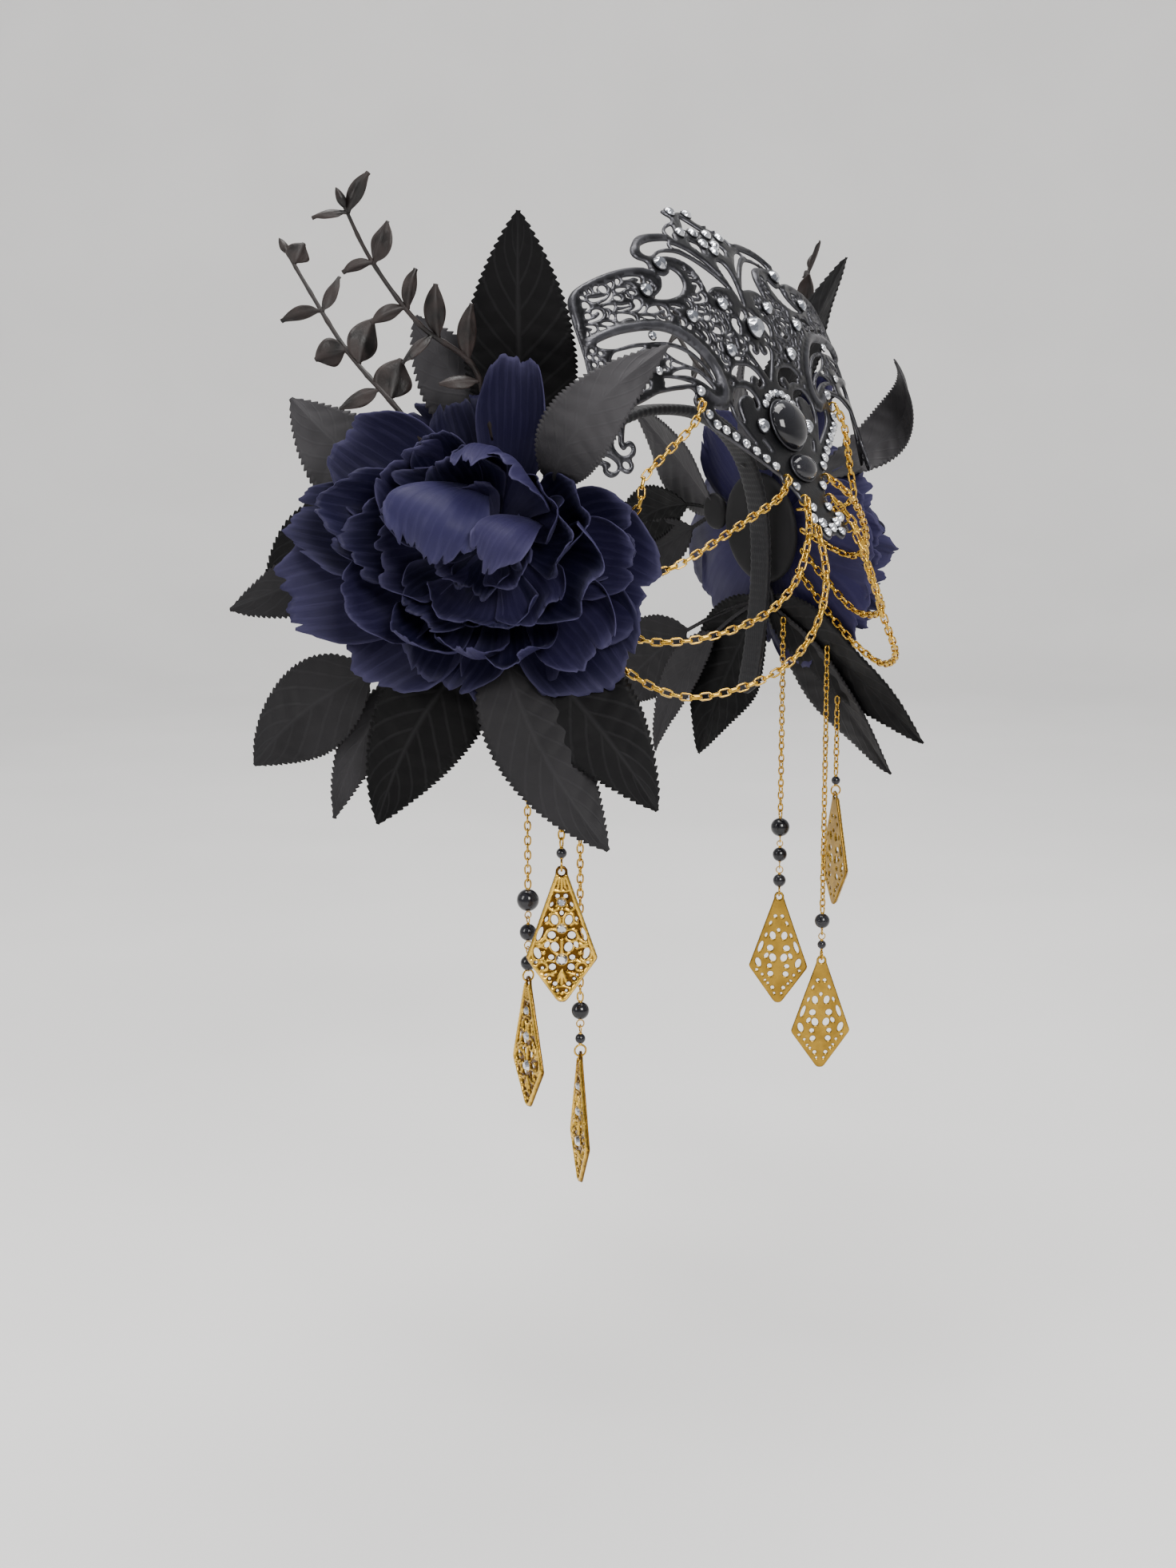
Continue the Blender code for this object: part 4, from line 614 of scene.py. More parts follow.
def plate_wall(front_places, back_places, tris):
    """Two like faces of triangles joined along every open edge into one closed wall."""
    n = len(front_places)
    pair = np.concatenate([tris[:, [0, 1]], tris[:, [1, 2]], tris[:, [2, 0]]])
    key = np.sort(pair, 1)
    _, first, count = np.unique(key[:, 0] * n + key[:, 1], return_index=True,
                                return_counts=True)
    a, b = pair[first[count == 1]].T
    verts = np.concatenate([front_places, back_places])
    return verts, [tris, tris[:, ::-1] + n, np.stack([b, a, a + n, b + n], -1)]


def crown_shell():
    """The pierced crown: flat lace bent over the crown surface."""
    edge = even(spline(mirror_join(EDGE), 4), gap=0.8)[:-1]
    gaps = both([closed_spline(pairs(v), 0.8) for v in GAPS.values()])
    gaps += [closed_spline(mirror_join(v), 0.8) for v in MIDDLE.values()]
    gaps += both([closed_spline(pairs(v), 0.55) for v in LACE])
    gaps += both([circle(*row) for row in ROUND])
    ribs = [(wide, high, pairs(line) * (side, 1.0))
            for wide, high, line in RIBS.values() for side in (1, -1)]
    flat, front, back, tris, away, lift = pierced(edge, gaps, ribs, 1.05, PLATE_HALF, 0.95)
    verts, faces = plate_wall(on_plate(*flat.T, front), on_plate(*flat.T, back), tris)
    # Brighter toward the front edges and on the raised ribs, partly rubbing, partly painted
    # highlight; the back stays dark.
    wear = np.concatenate([np.maximum(np.clip(1 - away / 0.7, 0, 1), lift), away * 0])
    return part(verts, faces, wear=wear)


# Clear stones: u, v and radius of each

STONE_GAP = 0.3
BIG_STONE_LIFT = PLATE_HALF + STONE_GAP + 0.25
MAIN_STONES = {"rim": (-51.8, 47.4, 2.4), "curl": (-37.8, 58.0, 2.7),
               "wing": (-34.9, 36.2, 2.4), "cap": (-15.0, 41.0, 2.4),
               "brow": (-20.2, 23.3, 2.4), "side": (-15.2, -4.6, 2.6)}
PLATE_STONES = [(-57.6, 29.9, 1.5), (-59.9, 17.2, 1.5), (-43.1, 9.0, 1.9), (-42.4, 0.6, 1.7),
                (-40.2, -3.2, 1.7), (-36.6, -5.4, 1.7), (-32.6, -8.0, 1.7),
                (-28.4, -10.8, 1.7), (-24.3, -13.7, 1.7), (-20.2, -16.7, 1.7),
                (-16.4, -19.9, 1.7), (-9.2, -27.9, 1.7), (-5.4, -36.6, 1.7),
                (-9.4, -40.9, 2.1), (-5.0, -43.1, 2.0), (-5.0, -46.9, 1.7),
                (-3.4, 7.2, 1.5), (-6.6, 5.9, 1.5), (-9.2, 3.6, 1.5),
                (-5.4, 85.6, 2.1), (-12.8, 73.2, 2.1), (-4.4, 73.6, 2.1), (-3.8, 68.0, 2.1)]
CENTRE_STONES = [(0.0, 7.6, 1.5), (0.0, -45.3, 1.9), (0.0, 64.6, 2.0)]
BIG_CENTRE_STONE = (0.0, 32.4, 4.1)
# Rings of a cut stone: corners, turn in sixteenths, radius and height as parts of the radius
CUT_RINGS = [(8, 1, 0.56, 0.62), (8, 0, 0.80, 0.44), (16, 0, 1.0, 0.08), (16, 0, 1.0, -0.05),
             (16, 0, 0.7, -0.22)]


def cut_facets():
    """A brilliant's facets over its rings of corners: the table, eight kites, two rows of
    side facets, the girdle, the lower wall and the flat back."""
    k, j = np.arange(8), np.arange(16)
    k2, j2 = (k + 1) % 8, (j + 1) % 16
    return [k[None], np.stack([8 + k, k, (k - 1) % 8], -1),
            np.stack([8 + k, 16 + 2 * k, 17 + 2 * k, k], -1),
            np.stack([8 + k2, k, 17 + 2 * k, 16 + 2 * k2], -1),
            np.stack([32 + j, 32 + j2, 16 + j2, 16 + j], -1),
            np.stack([48 + j, 48 + j2, 32 + j2, 32 + j], -1), (48 + j)[None, ::-1]]


def cut_stones(centres, axes, radii, mat=0):
    """Brilliants, each the same mesh set by its own axes (across, up, out). Corners are not
    shared, so that every face of the cut carries its own painted glint, a random brightness."""
    ring_places = []
    for corners, shift, radius, height in CUT_RINGS:
        t = turns(corners, shift / 2)
        ring_places.append(np.stack([radius * np.cos(t), radius * np.sin(t), 0 * t + height], -1))
    faces = cut_facets()
    q = np.concatenate(ring_places)[np.concatenate([f.ravel() for f in faces])]
    # Each face of the cut gets its own random brightness, a painted glint.
    shade = [np.repeat(np.modf(np.sin(np.arange(len(f)) * 12.9898 + n * 4.1) * 43758.5)[0] ** 2,
                       f.shape[1]) for n, f in enumerate(faces)]
    n = len(centres)
    x, y, z = (axis[:, None] * q[None, :, i:i + 1] for i, axis in enumerate(axes))
    verts = centres[:, None] + (x + y + z) * np.asarray(radii)[:, None, None]
    first = (np.arange(n) * len(q))[:, None, None]
    out, at = [], 0
    for f in faces:
        out.append((first + at + np.arange(f.size).reshape(f.shape)).reshape(-1, f.shape[1]))
        at += f.size
    mix = np.modf(np.concatenate(shade)[None] + np.arange(n)[:, None] * 0.37)[0]
    return part(verts, out, mat, facet=mix)


def set_stones(rows, lift):
    """Cut stones at places on the plate, and the wire cup round each."""
    rows = np.array(rows)
    u, v, radius = rows.T
    axes = plate_axes(u, v)
    cups = [part(*ring_loop(on_plate(*row[:2], lift - 0.12), out, row[2] * 1.02, 0.30, 20, 6),
                 1, wear=0.2) for row, out in zip(rows, axes[2])]
    return [cut_stones(on_plate(u, v, lift), axes, radius)] + cups


# Flowers: places are up, back and out from the flower's middle

FLOWER_BASE = np.array([-84.0, 5.0, -44.0])
FLOWER_AXIS = unit(np.array([-0.925, -0.36, 0.12]))
FLOWER_UP = lean_back(UP, FLOWER_AXIS)
FLOWER_BACK = np.cross(FLOWER_AXIS, FLOWER_UP)
FLOWER_AXES = np.stack([FLOWER_UP, FLOWER_BACK, FLOWER_AXIS])


def in_flower(spots):
    return FLOWER_BASE + np.asarray(spots, float) @ FLOWER_AXES


# Petals. turn: degrees from up toward the back of the head; aside: shift across; then the
# root, the bend and the tip as (reach, out); width; cup; ruffle; notches
PETALS = {
    "petals_outer": [
        (105, 0, (8, 4), (44, 2), (77, 17), 46, 0.35, 2.0, 2),
        (84, 2, (8, 5), (44, 6), (70, 22), 34, 0.40, 2.0, 2),
        (130, 0, (8, 4), (40, 1), (66, 10), 50, 0.30, 2.2, 2),
        (157, 0, (8, 4), (34, 0), (52, 12), 42, 0.35, 1.8, 2),
        (186, 1, (8, 4), (36, 2), (58, 9), 36, 0.25, 1.6, 1),
        (-137, 0, (8, 4), (38, 2), (62, 9), 46, 0.40, 2.0, 2),
        (-107, 0, (8, 4), (36, 2), (56, 11), 50, 0.35, 1.8, 1),
        (-82, -2, (8, 5), (32, 6), (48, 15), 34, 0.50, 1.6, 1),
        (-10, 0, (8, 5), (44, 12), (60, 27), 30, 0.95, 2.0, 1),
        (16, 2, (8, 4), (34, 4), (50, 10), 30, 0.50, 1.8, 2),
        (44, 0, (8, 4), (36, 1), (57, 6), 36, 0.30, 2.0, 2),
        (57, 0, (8, 6), (46, 10), (61, 25), 42, 0.60, 1.8, 1),
    ],
    "petals_middle": [
        (80, 0, (7, 8), (46, 10), (55, 34), 36, 0.70, 4.2, 3),
        (42, 4, (7, 9), (36, 14), (37, 35), 40, 0.60, 4.2, 3),
        (96, -3, (7, 9), (40, 10), (47, 30), 32, 0.60, 4.5, 4),
        (119, 0, (7, 8), (54, 6), (51, 31), 40, 0.80, 2.6, 2),
        (146, 0, (7, 8), (52, 6), (40, 36), 31, 0.75, 2.2, 1),
        (171, 0, (7, 8), (50, 6), (36, 33), 29, 0.75, 2.2, 1),
        (-163, 0, (7, 8), (48, 6), (41, 29), 33, 0.70, 3.0, 3),
        (-133, 0, (7, 8), (44, 6), (54, 24), 34, 0.55, 3.6, 3),
        (-113, 0, (7, 9), (38, 12), (42, 34), 40, 0.70, 4.4, 4),
        (-99, 0, (7, 8), (36, 8), (50, 20), 30, 0.60, 2.4, 1),
        (-70, 0, (7, 9), (32, 12), (36, 30), 30, 0.70, 3.4, 3),
        (-4, 2, (7, 9), (44, 26), (22, 47), 20, 0.85, 1.6, 1),
        (18, 6, (7, 9), (34, 18), (36, 34), 26, 0.80, 2.6, 2),
    ],
    "petals_inner": [
        (-38, 4, (6, 12), (34, 24), (24, 42), 36, 0.50, 3.0, 3),
        (63, 0, (6, 12), (30, 14), (33, 32), 32, 0.60, 4.0, 4),
        (104, 0, (6, 12), (32, 12), (36, 28), 34, 0.55, 4.4, 4),
        (133, 2, (6, 12), (30, 12), (34, 27), 30, 0.55, 4.0, 4),
        (160, 0, (6, 12), (30, 12), (28, 28), 30, 0.55, 4.0, 4),
        (-168, 0, (6, 12), (30, 12), (29, 26), 30, 0.55, 3.8, 4),
        (-140, 0, (6, 12), (28, 12), (32, 27), 30, 0.55, 3.8, 4),
        (-88, 0, (6, 12), (28, 14), (30, 32), 30, 0.60, 4.0, 4),
        (-60, 0, (6, 12), (26, 16), (27, 34), 26, 0.60, 3.6, 3),
        (20, 0, (6, 12), (26, 18), (28, 34), 30, 0.60, 3.6, 3),
    ],
    "flower_heart": [
        (-22, 11, (14, 18), (9, 60), (-12, 44), 37, 0.30, 2.0, 6),
        (-27, -12, (13, 20), (12, 58), (-6, 46), 20, 0.34, 1.7, 4),
        (80, 0, (2, 14), (14, 16), (18, 27), 22, 0.60, 3.0, 4),
        (125, 0, (2, 14), (13, 16), (19, 24), 22, 0.60, 3.0, 4),
        (170, 0, (2, 14), (13, 16), (18, 24), 22, 0.60, 3.0, 4),
        (-140, 0, (2, 14), (13, 16), (18, 25), 22, 0.60, 3.0, 4),
        (-95, 0, (2, 14), (14, 18), (16, 30), 20, 0.60, 3.0, 4),
        (30, 0, (2, 14), (16, 18), (18, 30), 24, 0.60, 3.0, 4),
    ],
}
PETAL_WALL = 0.34


def bent_run(root, bend, tip, f):
    """The quadratic run from root to tip that leans toward bend, and its direction."""
    root, bend, tip = (np.asarray(p, float) for p in (root, bend, tip))
    run = root * (1 - f) ** 2 + bend * (2 * f * (1 - f)) + tip * f ** 2
    return run, unit((bend - root) * (1 - f) + (tip - bend) * f)


def petal_reach(q, notches, ph, rng):
    """How far the rim reaches across a petal: drawn in at its corners, ragged by three
    sines, and cut by narrow notches."""
    ragged = sum(high * np.sin(q * waves + shift)
                 for high, waves, shift in zip((0.030, 0.014, 0.006), (6, 17, 47), ph))
    cut = 0.0
    for k in range(notches):
        at = (k + 0.5 + rng.uniform(-0.22, 0.22)) / notches * 1.7 - 0.85
        cut = cut + rng.uniform(0.05, 0.12) * np.exp(-((q - at) / 0.035) ** 2)
    return 1 - 0.17 * np.abs(q) ** 2.6 - 0.10 * np.abs(q) ** 8 + ragged - cut


def petal(row, seed):
    """A silk petal. Its middle line is a bent run from root to tip; across it the petal
    follows an arc whose width grows to a full shoulder; waves that swell toward the rim
    ruffle it, a pleat runs along it, and its last part curls back."""
    turn, aside, root, bend, tip, width, cup, ruffle, notches = row
    rng = np.random.default_rng(seed)
    ph = rng.uniform(0, 6.28, 8)
    rows, cols = (26, 41) if width > 26 else (22, 29)
    s, q = np.linspace(0, 1, rows)[:, None], np.linspace(-1, 1, cols)[None, :]
    f = s * petal_reach(q, notches, ph, rng)
    a = math.radians(turn)
    go = np.array([[math.cos(a), math.sin(a), 0.0], [0.0, 0.0, 1.0]])
    over = np.array([-math.sin(a), math.cos(a), 0.0])
    line, step = bent_run(root, bend, tip, f[..., None])
    mid, along = line @ go, step @ go
    shape = 0.26 + 0.74 * np.sin(np.pi / 2 * np.clip(f / 0.62, 0, 1)) ** 1.1
    shape = shape * (1 - 0.16 * np.clip((f - 0.62) / 0.38, 0, 1) ** 2)
    arc = cup * 1.25 * (0.35 + 0.65 * s)
    bow = width / 2 * shape / np.maximum(arc, 0.05)
    waves = (np.sin(q * (3.0 + 0.6 * notches) + ph[3]) * 0.62
             + np.sin(q * 6.5 + ph[4] + s * 1.5) * 0.30
             + np.sin(q * 14.0 + ph[5] + s * 3) * 0.09 * s ** 4)
    wave = ruffle * s ** 1.6 * waves * (0.5 + 0.5 * np.abs(q))
    pleat = 0.22 * np.sin(q * 7 + ph[6] + 2 * s) * np.sin(np.pi * s) ** 0.7
    curl = -0.9 * np.clip((s - 0.86) / 0.14, 0, 1) ** 2 * (1 + 0.8 * np.sin(q * 5 + ph[7]))
    lift = (1 - np.cos(q * arc)) * bow + wave + pleat + curl
    flat = (mid + over * (np.sin(q * arc) * bow + aside)[..., None]
            + np.cross(along, over) * lift[..., None])
    rim = np.maximum(np.abs(q) ** 14 * (s > 0.25), s ** 16)
    # Painted light: the outer face, the second half of the wall, is marked to be painted lighter,
    # and the cupped face darker as painted shade; the rim mark carries a painted highlight.
    return part(*sheet_wall(in_flower(flat), PETAL_WALL), tone=0.5 + 0.5 * math.sin(seed * 2.4),
                inner=np.repeat([0.0, 1.0], rows * cols),
                **sheet_values(rows, cols, along=s, across=q, rim=rim))


def calyx():
    """The cup behind the petals: a shallow turned dish."""
    rows = [(4, -2.8), (14, -2.8), (20, -2.6), (22.4, -1.2), (21.6, 1.2), (15, 2.3), (3, 2.8)]
    return part(*turned(FLOWER_BASE, FLOWER_AXIS, FLOWER_UP, spline(rows, 3), 48), along=0.5)


# Leaves as in the source: hub, then bend, tip, half width, side lean and bare stalk
LEAVES = {
    "leaf_spray_top": ((31, -6, -0.8), [
        ((61, -6.5, 15.5), (103, -14, 42.5), 19.0, 0.0, 0.0),
        ((52, 19, 4), (74, 27, 22), 14.0, 0.15, 0.0)]),
    "leaf_spray_back": ((6, 29.2, -0.8), [
        ((27, 57, 1), (50, 81, -2), 17.0, 0.2, 0.0),
        ((16, 75, -5), (-18, 94, -14), 11.5, 0.2, 0.2),
        ((-12, 70, -3), (-24, 108, -15), 12.0, 0.2, 0.2)]),
    "leaf_spray_low": ((-29.1, 2, -0.8), [
        ((-46, 71, -7), (-80, 98, -17), 17.0, 0.2, 0.4),
        ((-52, 56, -9), (-98, 67, -18), 9.0, 0.2, 0.3),
        ((-59, 34, 1), (-98.6, 47, -8.9), 20.0, 0.2, 0.0),
        ((-50, -32, 9), (-87.6, -61.6, 24.4), 18.0, -0.1, 0.0),
        ((-69.7, -15, 20), (-101.6, -44.7, 20.8), 16.0, -0.1, 0.0)]),
}
# How much painted grey sheen each leaf has, 0 to 1
LEAF_PAINTED_SHEEN = {"leaf_spray_top": (0.05, 1.0), "leaf_spray_back": (0.75, 0.0, 0.3),
              "leaf_spray_low": (0.3, 0.5, 0.0, 0.06, 0.35)}
LEAF_FRONT = ((18.0, -20.0, 12.4), (33.0, -35.5, 67.0), (62.5, -60.0, 24.0), 12.0)
LEAF_FACE = unit(np.array([-0.86, -0.5, 0.1]))
TOOTH_PITCH = 2.15
VEIN_PITCH = 8.5


def leaf(root, bend, tip, half, lean, seed, tone=0.5, stalk=0.0, crease=0.14, tooth=1.3,
         rows=190, cols=15, thick=0.55):
    """A stiffened cloth leaf. The middle line is a bent run; the width follows a rounded
    sine; the rim is pinked into even saw teeth; the blade folds along its rib, waves
    slightly, and is raised between its side veins."""
    ph = np.random.default_rng(seed).uniform(0, 6.28, 4)
    t, q = np.linspace(0, 1, rows)[:, None], np.linspace(-1, 1, cols)[None, :]
    line, go = bent_run(root, bend, tip, t)
    run = t * path_length(line)
    out = lean_back(LEAF_FACE, go)
    out = unit(out + np.cross(go, out) * lean)
    grown = np.clip((t * 0.99 + 0.01 - stalk) / (1 - stalk), 0, 1)
    w = np.maximum(half * np.maximum(np.sin(np.pi * grown ** 0.8), 0) ** 0.8, 0.7)
    saw = 0.45 - np.abs(np.modf(run / TOOTH_PITCH)[0] - 0.25) / 0.75
    w = w + tooth * saw * np.clip(w / 4, 0, 1) * np.abs(q) ** 6
    veins = np.abs(np.sin((run / VEIN_PITCH + np.abs(q) * 0.9) * np.pi))
    puff = 0.45 * (veins - 0.6) * np.sin(np.pi * np.abs(q)) * np.clip(w / half, 0, 1)
    rib = 0.5 * np.exp(-(q * w / 0.9) ** 2)
    wave = (0.05 * half * np.sin(t * 7 + ph[0]) * q + 0.04 * half * np.sin(t * 11 + ph[1])
            * q ** 2) * np.sin(np.pi * t)
    lift = puff + rib + wave - np.abs(q) * w * crease * 0.9
    flat = (line[:, None] + unit(np.cross(go, out))[:, None] * (q * w)[..., None]
            + out[:, None] * lift[..., None])
    # Each leaf carries its amount of painted grey sheen.
    return part(*sheet_wall(flat, thick), tone=tone,
                **sheet_values(rows, cols, along=t, across=q, rim=np.abs(q) ** 12))


def leaf_front():
    root, bend, tip, half = LEAF_FRONT
    # The front leaf gets 0.8 of the painted grey sheen.
    return leaf(*in_flower([root, bend, tip]), half, 0.0, 5, 0.8)


def leaf_spray(name):
    """Leaves that meet in a small turned hub."""
    hub, rows = LEAVES[name]
    middle = in_flower(hub)
    dish = [(3.0, -1.9), (6.2, -1.7), (7.5, -0.9), (7.4, 0.5), (5.6, 0.9), (2.0, 1.0)]
    parts = [part(*turned(middle, FLOWER_AXIS, FLOWER_UP, spline(dish, 3), 24))]
    for k, (bend, tip, half, lean, stalk) in enumerate(rows):
        bend, tip = in_flower([bend, tip])
        root = middle + unit(bend - middle) * 2.6 + FLOWER_AXIS * (0.23 * k - 0.3)
        parts.append(leaf(root, bend, tip, half, lean, 11 * k + len(name),
                          LEAF_PAINTED_SHEEN[name][k], stalk))
    return parts


# Twigs: stem places, then small leaves as (where on the stem, length, width, turn)
TWIGS = {
    "twig_tall": ([(34, 2, 12.5), (56, 5, 25), (67.5, 18.5, 42), (86, 31, 54.5),
                   (105, 38, 67)],
                  [(0.12, 15, 6.0, 1), (0.20, 13, 5.0, -1), (0.28, 19, 6.0, 1),
                   (0.42, 17, 6.5, 1), (0.44, 14, 4.0, -1), (0.56, 13, 4.5, 1),
                   (0.57, 12, 4.5, -1), (0.73, 14, 7.5, 1), (0.74, 10, 3.5, -1),
                   (0.92, 14, 4.5, 1), (0.92, 11, 3.0, -1)]),
    "twig_short": ([(31, 24, 13.9), (44, 34, 19.5), (64, 54, 15), (87, 71, 11),
                    (103, 82, 8.4)],
                   [(0.28, 15, 12.0, 1), (0.33, 15, 6.0, -1), (0.44, 17, 10.0, 1),
                    (0.50, 11, 9.0, -1), (0.64, 14, 5.0, 1), (0.65, 14, 4.5, -1),
                    (0.86, 8, 8.0, 1)]),
}
TWIG_FACE = unit(np.array([-0.75, -0.6, 0.15]))


def twig(name):
    """A knotted stem that thins to its tip, with small folded leaves set in the source's
    places and a bud at the end."""
    stem, leaves = TWIGS[name]
    line, fine = (spline(in_flower(stem), steps) for steps in (2, 14))
    f = np.linspace(0, 1, len(fine))
    knots = 0.28 * np.exp(-((np.modf(f * 9)[0] - 0.5) / 0.10) ** 2)
    radius = 1.1 - 0.55 * f + knots * (1 - 0.5 * f)
    parts = [part(*round_tube(fine, radius, 10))]
    for k, (where, reach, wide, turn) in enumerate(leaves):
        at = where * (len(line) - 1)
        i = min(int(at), len(line) - 2)
        span = line[i + 1] - line[i]
        d = unit(span)
        across = unit(np.cross(d, TWIG_FACE)) * turn
        root = line[i] + span * (at - i) + across * 0.13
        ahead = unit(d * (0.75 if turn > 0 else 0.28) + across) * reach
        bend = root + ahead * 0.5 + d * reach * 0.10 + TWIG_FACE * 1.5
        lean = (0.3, -0.5, 0.6)[k % 3] * turn
        parts.append(leaf(root, bend, root + ahead, wide * 0.55, lean, 3 * k + len(name),
                          stalk=0.06, crease=0.35, tooth=0.0, rows=28, cols=9, thick=0.45))
    d = unit(fine[-1] - fine[-4])
    bud = [(0.35, -0.6), (1.3, 1.4), (1.5, 3.0), (0.9, 5.2), (0.12, 6.6)]
    parts.append(part(*turned(fine[-1] - d * 5.6, d, TWIG_FACE, spline(bud, 4), 12)))
    return parts


# Chains across the brow: start on the plate (u, v), then the run

CHAINS = {
    "chain_a": ((-45.2, 4.6), [(-50, -50.5, -2), (-55, -49, -7), (-64, -45.5, -15),
                               (-71.5, -42.5, -23), (-73.5, -41, -34), (-74.5, -17.5, -36)]),
    "chain_b": ((-13.4, -25.2), [(-20, -68, -26), (-30, -67, -31), (-44, -63, -38),
                                 (-58, -57, -46), (-70, -48, -53), (-74.5, -36, -52),
                                 (-75.4, -18.5, -44)]),
    "chain_c": ((-8.6, -33.4), [(-16.5, -74.8, -37), (-20, -76.5, -48), (-32, -75, -62),
                                (-48, -70, -70), (-64, -58, -75), (-75, -42, -74),
                                (-76.8, -18, -52)]),
    "chain_d": ((-12.2, -45.2), [(-14.5, -82, -51), (-17, -82, -58), (-26, -83, -74),
                                 (-42, -79, -86), (-58, -69, -92), (-71, -54, -93),
                                 (-77, -36, -82), (-79, -15, -60)]),
}
CHAIN_LIFT = 2.4
BROW_PITCH = 3.3
# Links: long, wide, wire, how much thicker the wire is across the link, and how round
BROW_LINK = (4.55, 2.9, 0.62, 1.7, 0.30)
STRAND_PITCH = 2.6
STRAND_LINK = (3.95, 2.7, 0.62, 1.0, 0.75)
LINK_RING = 14
LINK_SIDES = 6


def powered(v, power):
    """v to a power with its sign kept, which squares off a circle's sine or cosine."""
    return np.sign(v) * np.abs(v) ** power


def links(centres, go, face, link):
    """Wire links, all of one mesh: a squared-off wire profile carried round a rounded
    rectangle that lies in the plane of go and the axis across face."""
    long, wide, wire, flat, roundness = link
    t, q = turns(LINK_RING, 0.5), turns(LINK_SIDES, 0.5)
    loop = np.stack([powered(np.cos(t), roundness) * (long - wire) / 2,
                     powered(np.sin(t), roundness) * (wide - wire) / 2], -1)
    path = even(loop, count=LINK_RING, loop=True)
    ahead = unit(np.roll(path, -1, 0) - np.roll(path, 1, 0))
    out = np.stack([ahead[:, 1], -ahead[:, 0]], -1)
    plane = path[:, None] + out[:, None] * (powered(np.cos(q), 0.6) * wire / 2)[:, None]
    high = np.broadcast_to(powered(np.sin(q), 0.6)[:, None] * wire / 2 * flat,
                           (LINK_RING, LINK_SIDES, 1))
    x, y, z = np.concatenate([plane, high], -1).reshape(-1, 3, 1).transpose(1, 0, 2)
    verts = (centres[:, None] + go[:, None] * x + np.cross(face, go)[:, None] * y
             + face[:, None] * z)
    first = (np.arange(len(centres)) * LINK_RING * LINK_SIDES)[:, None, None]
    return verts, [(ring_faces(LINK_RING, LINK_SIDES) + first).reshape(-1, 4)]


def chain_links(path, pitch, out, link, twist=0.3):
    """Links set along a run a pitch apart, each turned a quarter from the last."""
    count = int(round(path_length(path) / pitch))
    at = even(path, count=count + 1)
    go = unit(at[1:] - at[:-1])
    a = lean_back(out, go)
    k = np.arange(count)[:, None]
    turn = (k % 2) * np.pi / 2 + twist + 0.18 * np.sin(k * 1.7)
    face = a * np.cos(turn) + np.cross(go, a) * np.sin(turn)
    return part(*links((at[1:] + at[:-1]) / 2, go, face, link), wear=0.5)


def brow_chain(name):
    """A box chain of flat links on the source's line, with a jump ring through the lug."""
    start, run = CHAINS[name]
    path = spline([on_plate(*start, CHAIN_LIFT)] + run, 4)
    path = even(spline(even(path, count=9), 8), gap=0.7)
    out = unit(path - np.array([0.0, 30.0, path[:, 2].mean()])) * (1, 1, 0.3)
    count = int(round(path_length(path) / BROW_PITCH))
    near = out[np.round(np.linspace(0, len(path) - 1, count)).astype(int)]
    jump_ring = ring_loop(on_plate(*start, 0.9), plate_axes(*start)[0], 1.75, 0.36)
    return [chain_links(path, BROW_PITCH, near, BROW_LINK), part(*jump_ring, wear=0.5)]


# Drop strands: x, y, top of the chain, beads as (radius, height), the ring's height, and
# which way the kite faces
STRANDS = {
    "a": (-85.5, -5.0, -80.3, [(3.9, -167.0), (3.0, -178.5), (2.7, -189.5)], -194.0, -118.0),
    "b": (-94.0, -26.0, -112.0, [(1.8, -146.5)], -150.6, -54.0),
    "c": (-84.0, -26.5, -90.5, [(3.1, -203.5), (1.8, -213.5)], -217.8, -130.0),
}
RING_R = 2.0
BEAD_CAP = [(0.30, -0.2), (0.75, -0.12), (0.62, 0.22), (0.3, 0.42)]


def facing(degrees):
    a = math.radians(degrees)
    return np.array([math.sin(a), -math.cos(a), 0.0])


def strand(key):
    """Oval cable chain, then black beads on wire loops, and the open ring at the end."""
    x, y, z, beads, end, face = STRANDS[key]
    spot, out = np.array([x, y, 0.0]), facing(face)
    parts = []
    for r, h in beads + [(RING_R, end)]:
        stop = h + r + 0.5
        if z - stop > 5.0:
            path = spot + UP * np.linspace(z, stop, 40)[:, None]
            parts.append(chain_links(path, STRAND_PITCH, out, STRAND_LINK, 0.5))
        elif z - stop > 0.3:
            gap = max((z - stop) / 2, 0.75)
            for lift, axis in ((0.42, np.cross(UP, out)), (-0.42, out)):
                loop_spot = spot + UP * ((z + stop) / 2 + lift * gap)
                parts.append(part(*ring_loop(loop_spot, axis, max(0.62, 0.62 * gap), 0.24, 16, 6),
                                  wear=0.5))
        if h != end:
            t = np.linspace(np.pi - 0.16, 0.16, 26)
            ball = np.stack([r * np.sin(t), r * np.cos(t)], -1)
            parts.append(part(*turned(spot + UP * h, UP, out, ball, 32), 1))
            for side in (1, -1):
                cap = (np.array(BEAD_CAP) * (1, side))[::side]
                parts.append(part(*turned(spot + UP * (h + side * r * 0.985), UP, out, cap, 14),
                                  wear=0.5))
        z = h - r - 0.3
    parts.append(part(*ring_loop(spot + UP * end, facing(face + 90.0), RING_R, 0.36, 24),
                      wear=0.5))
    return parts


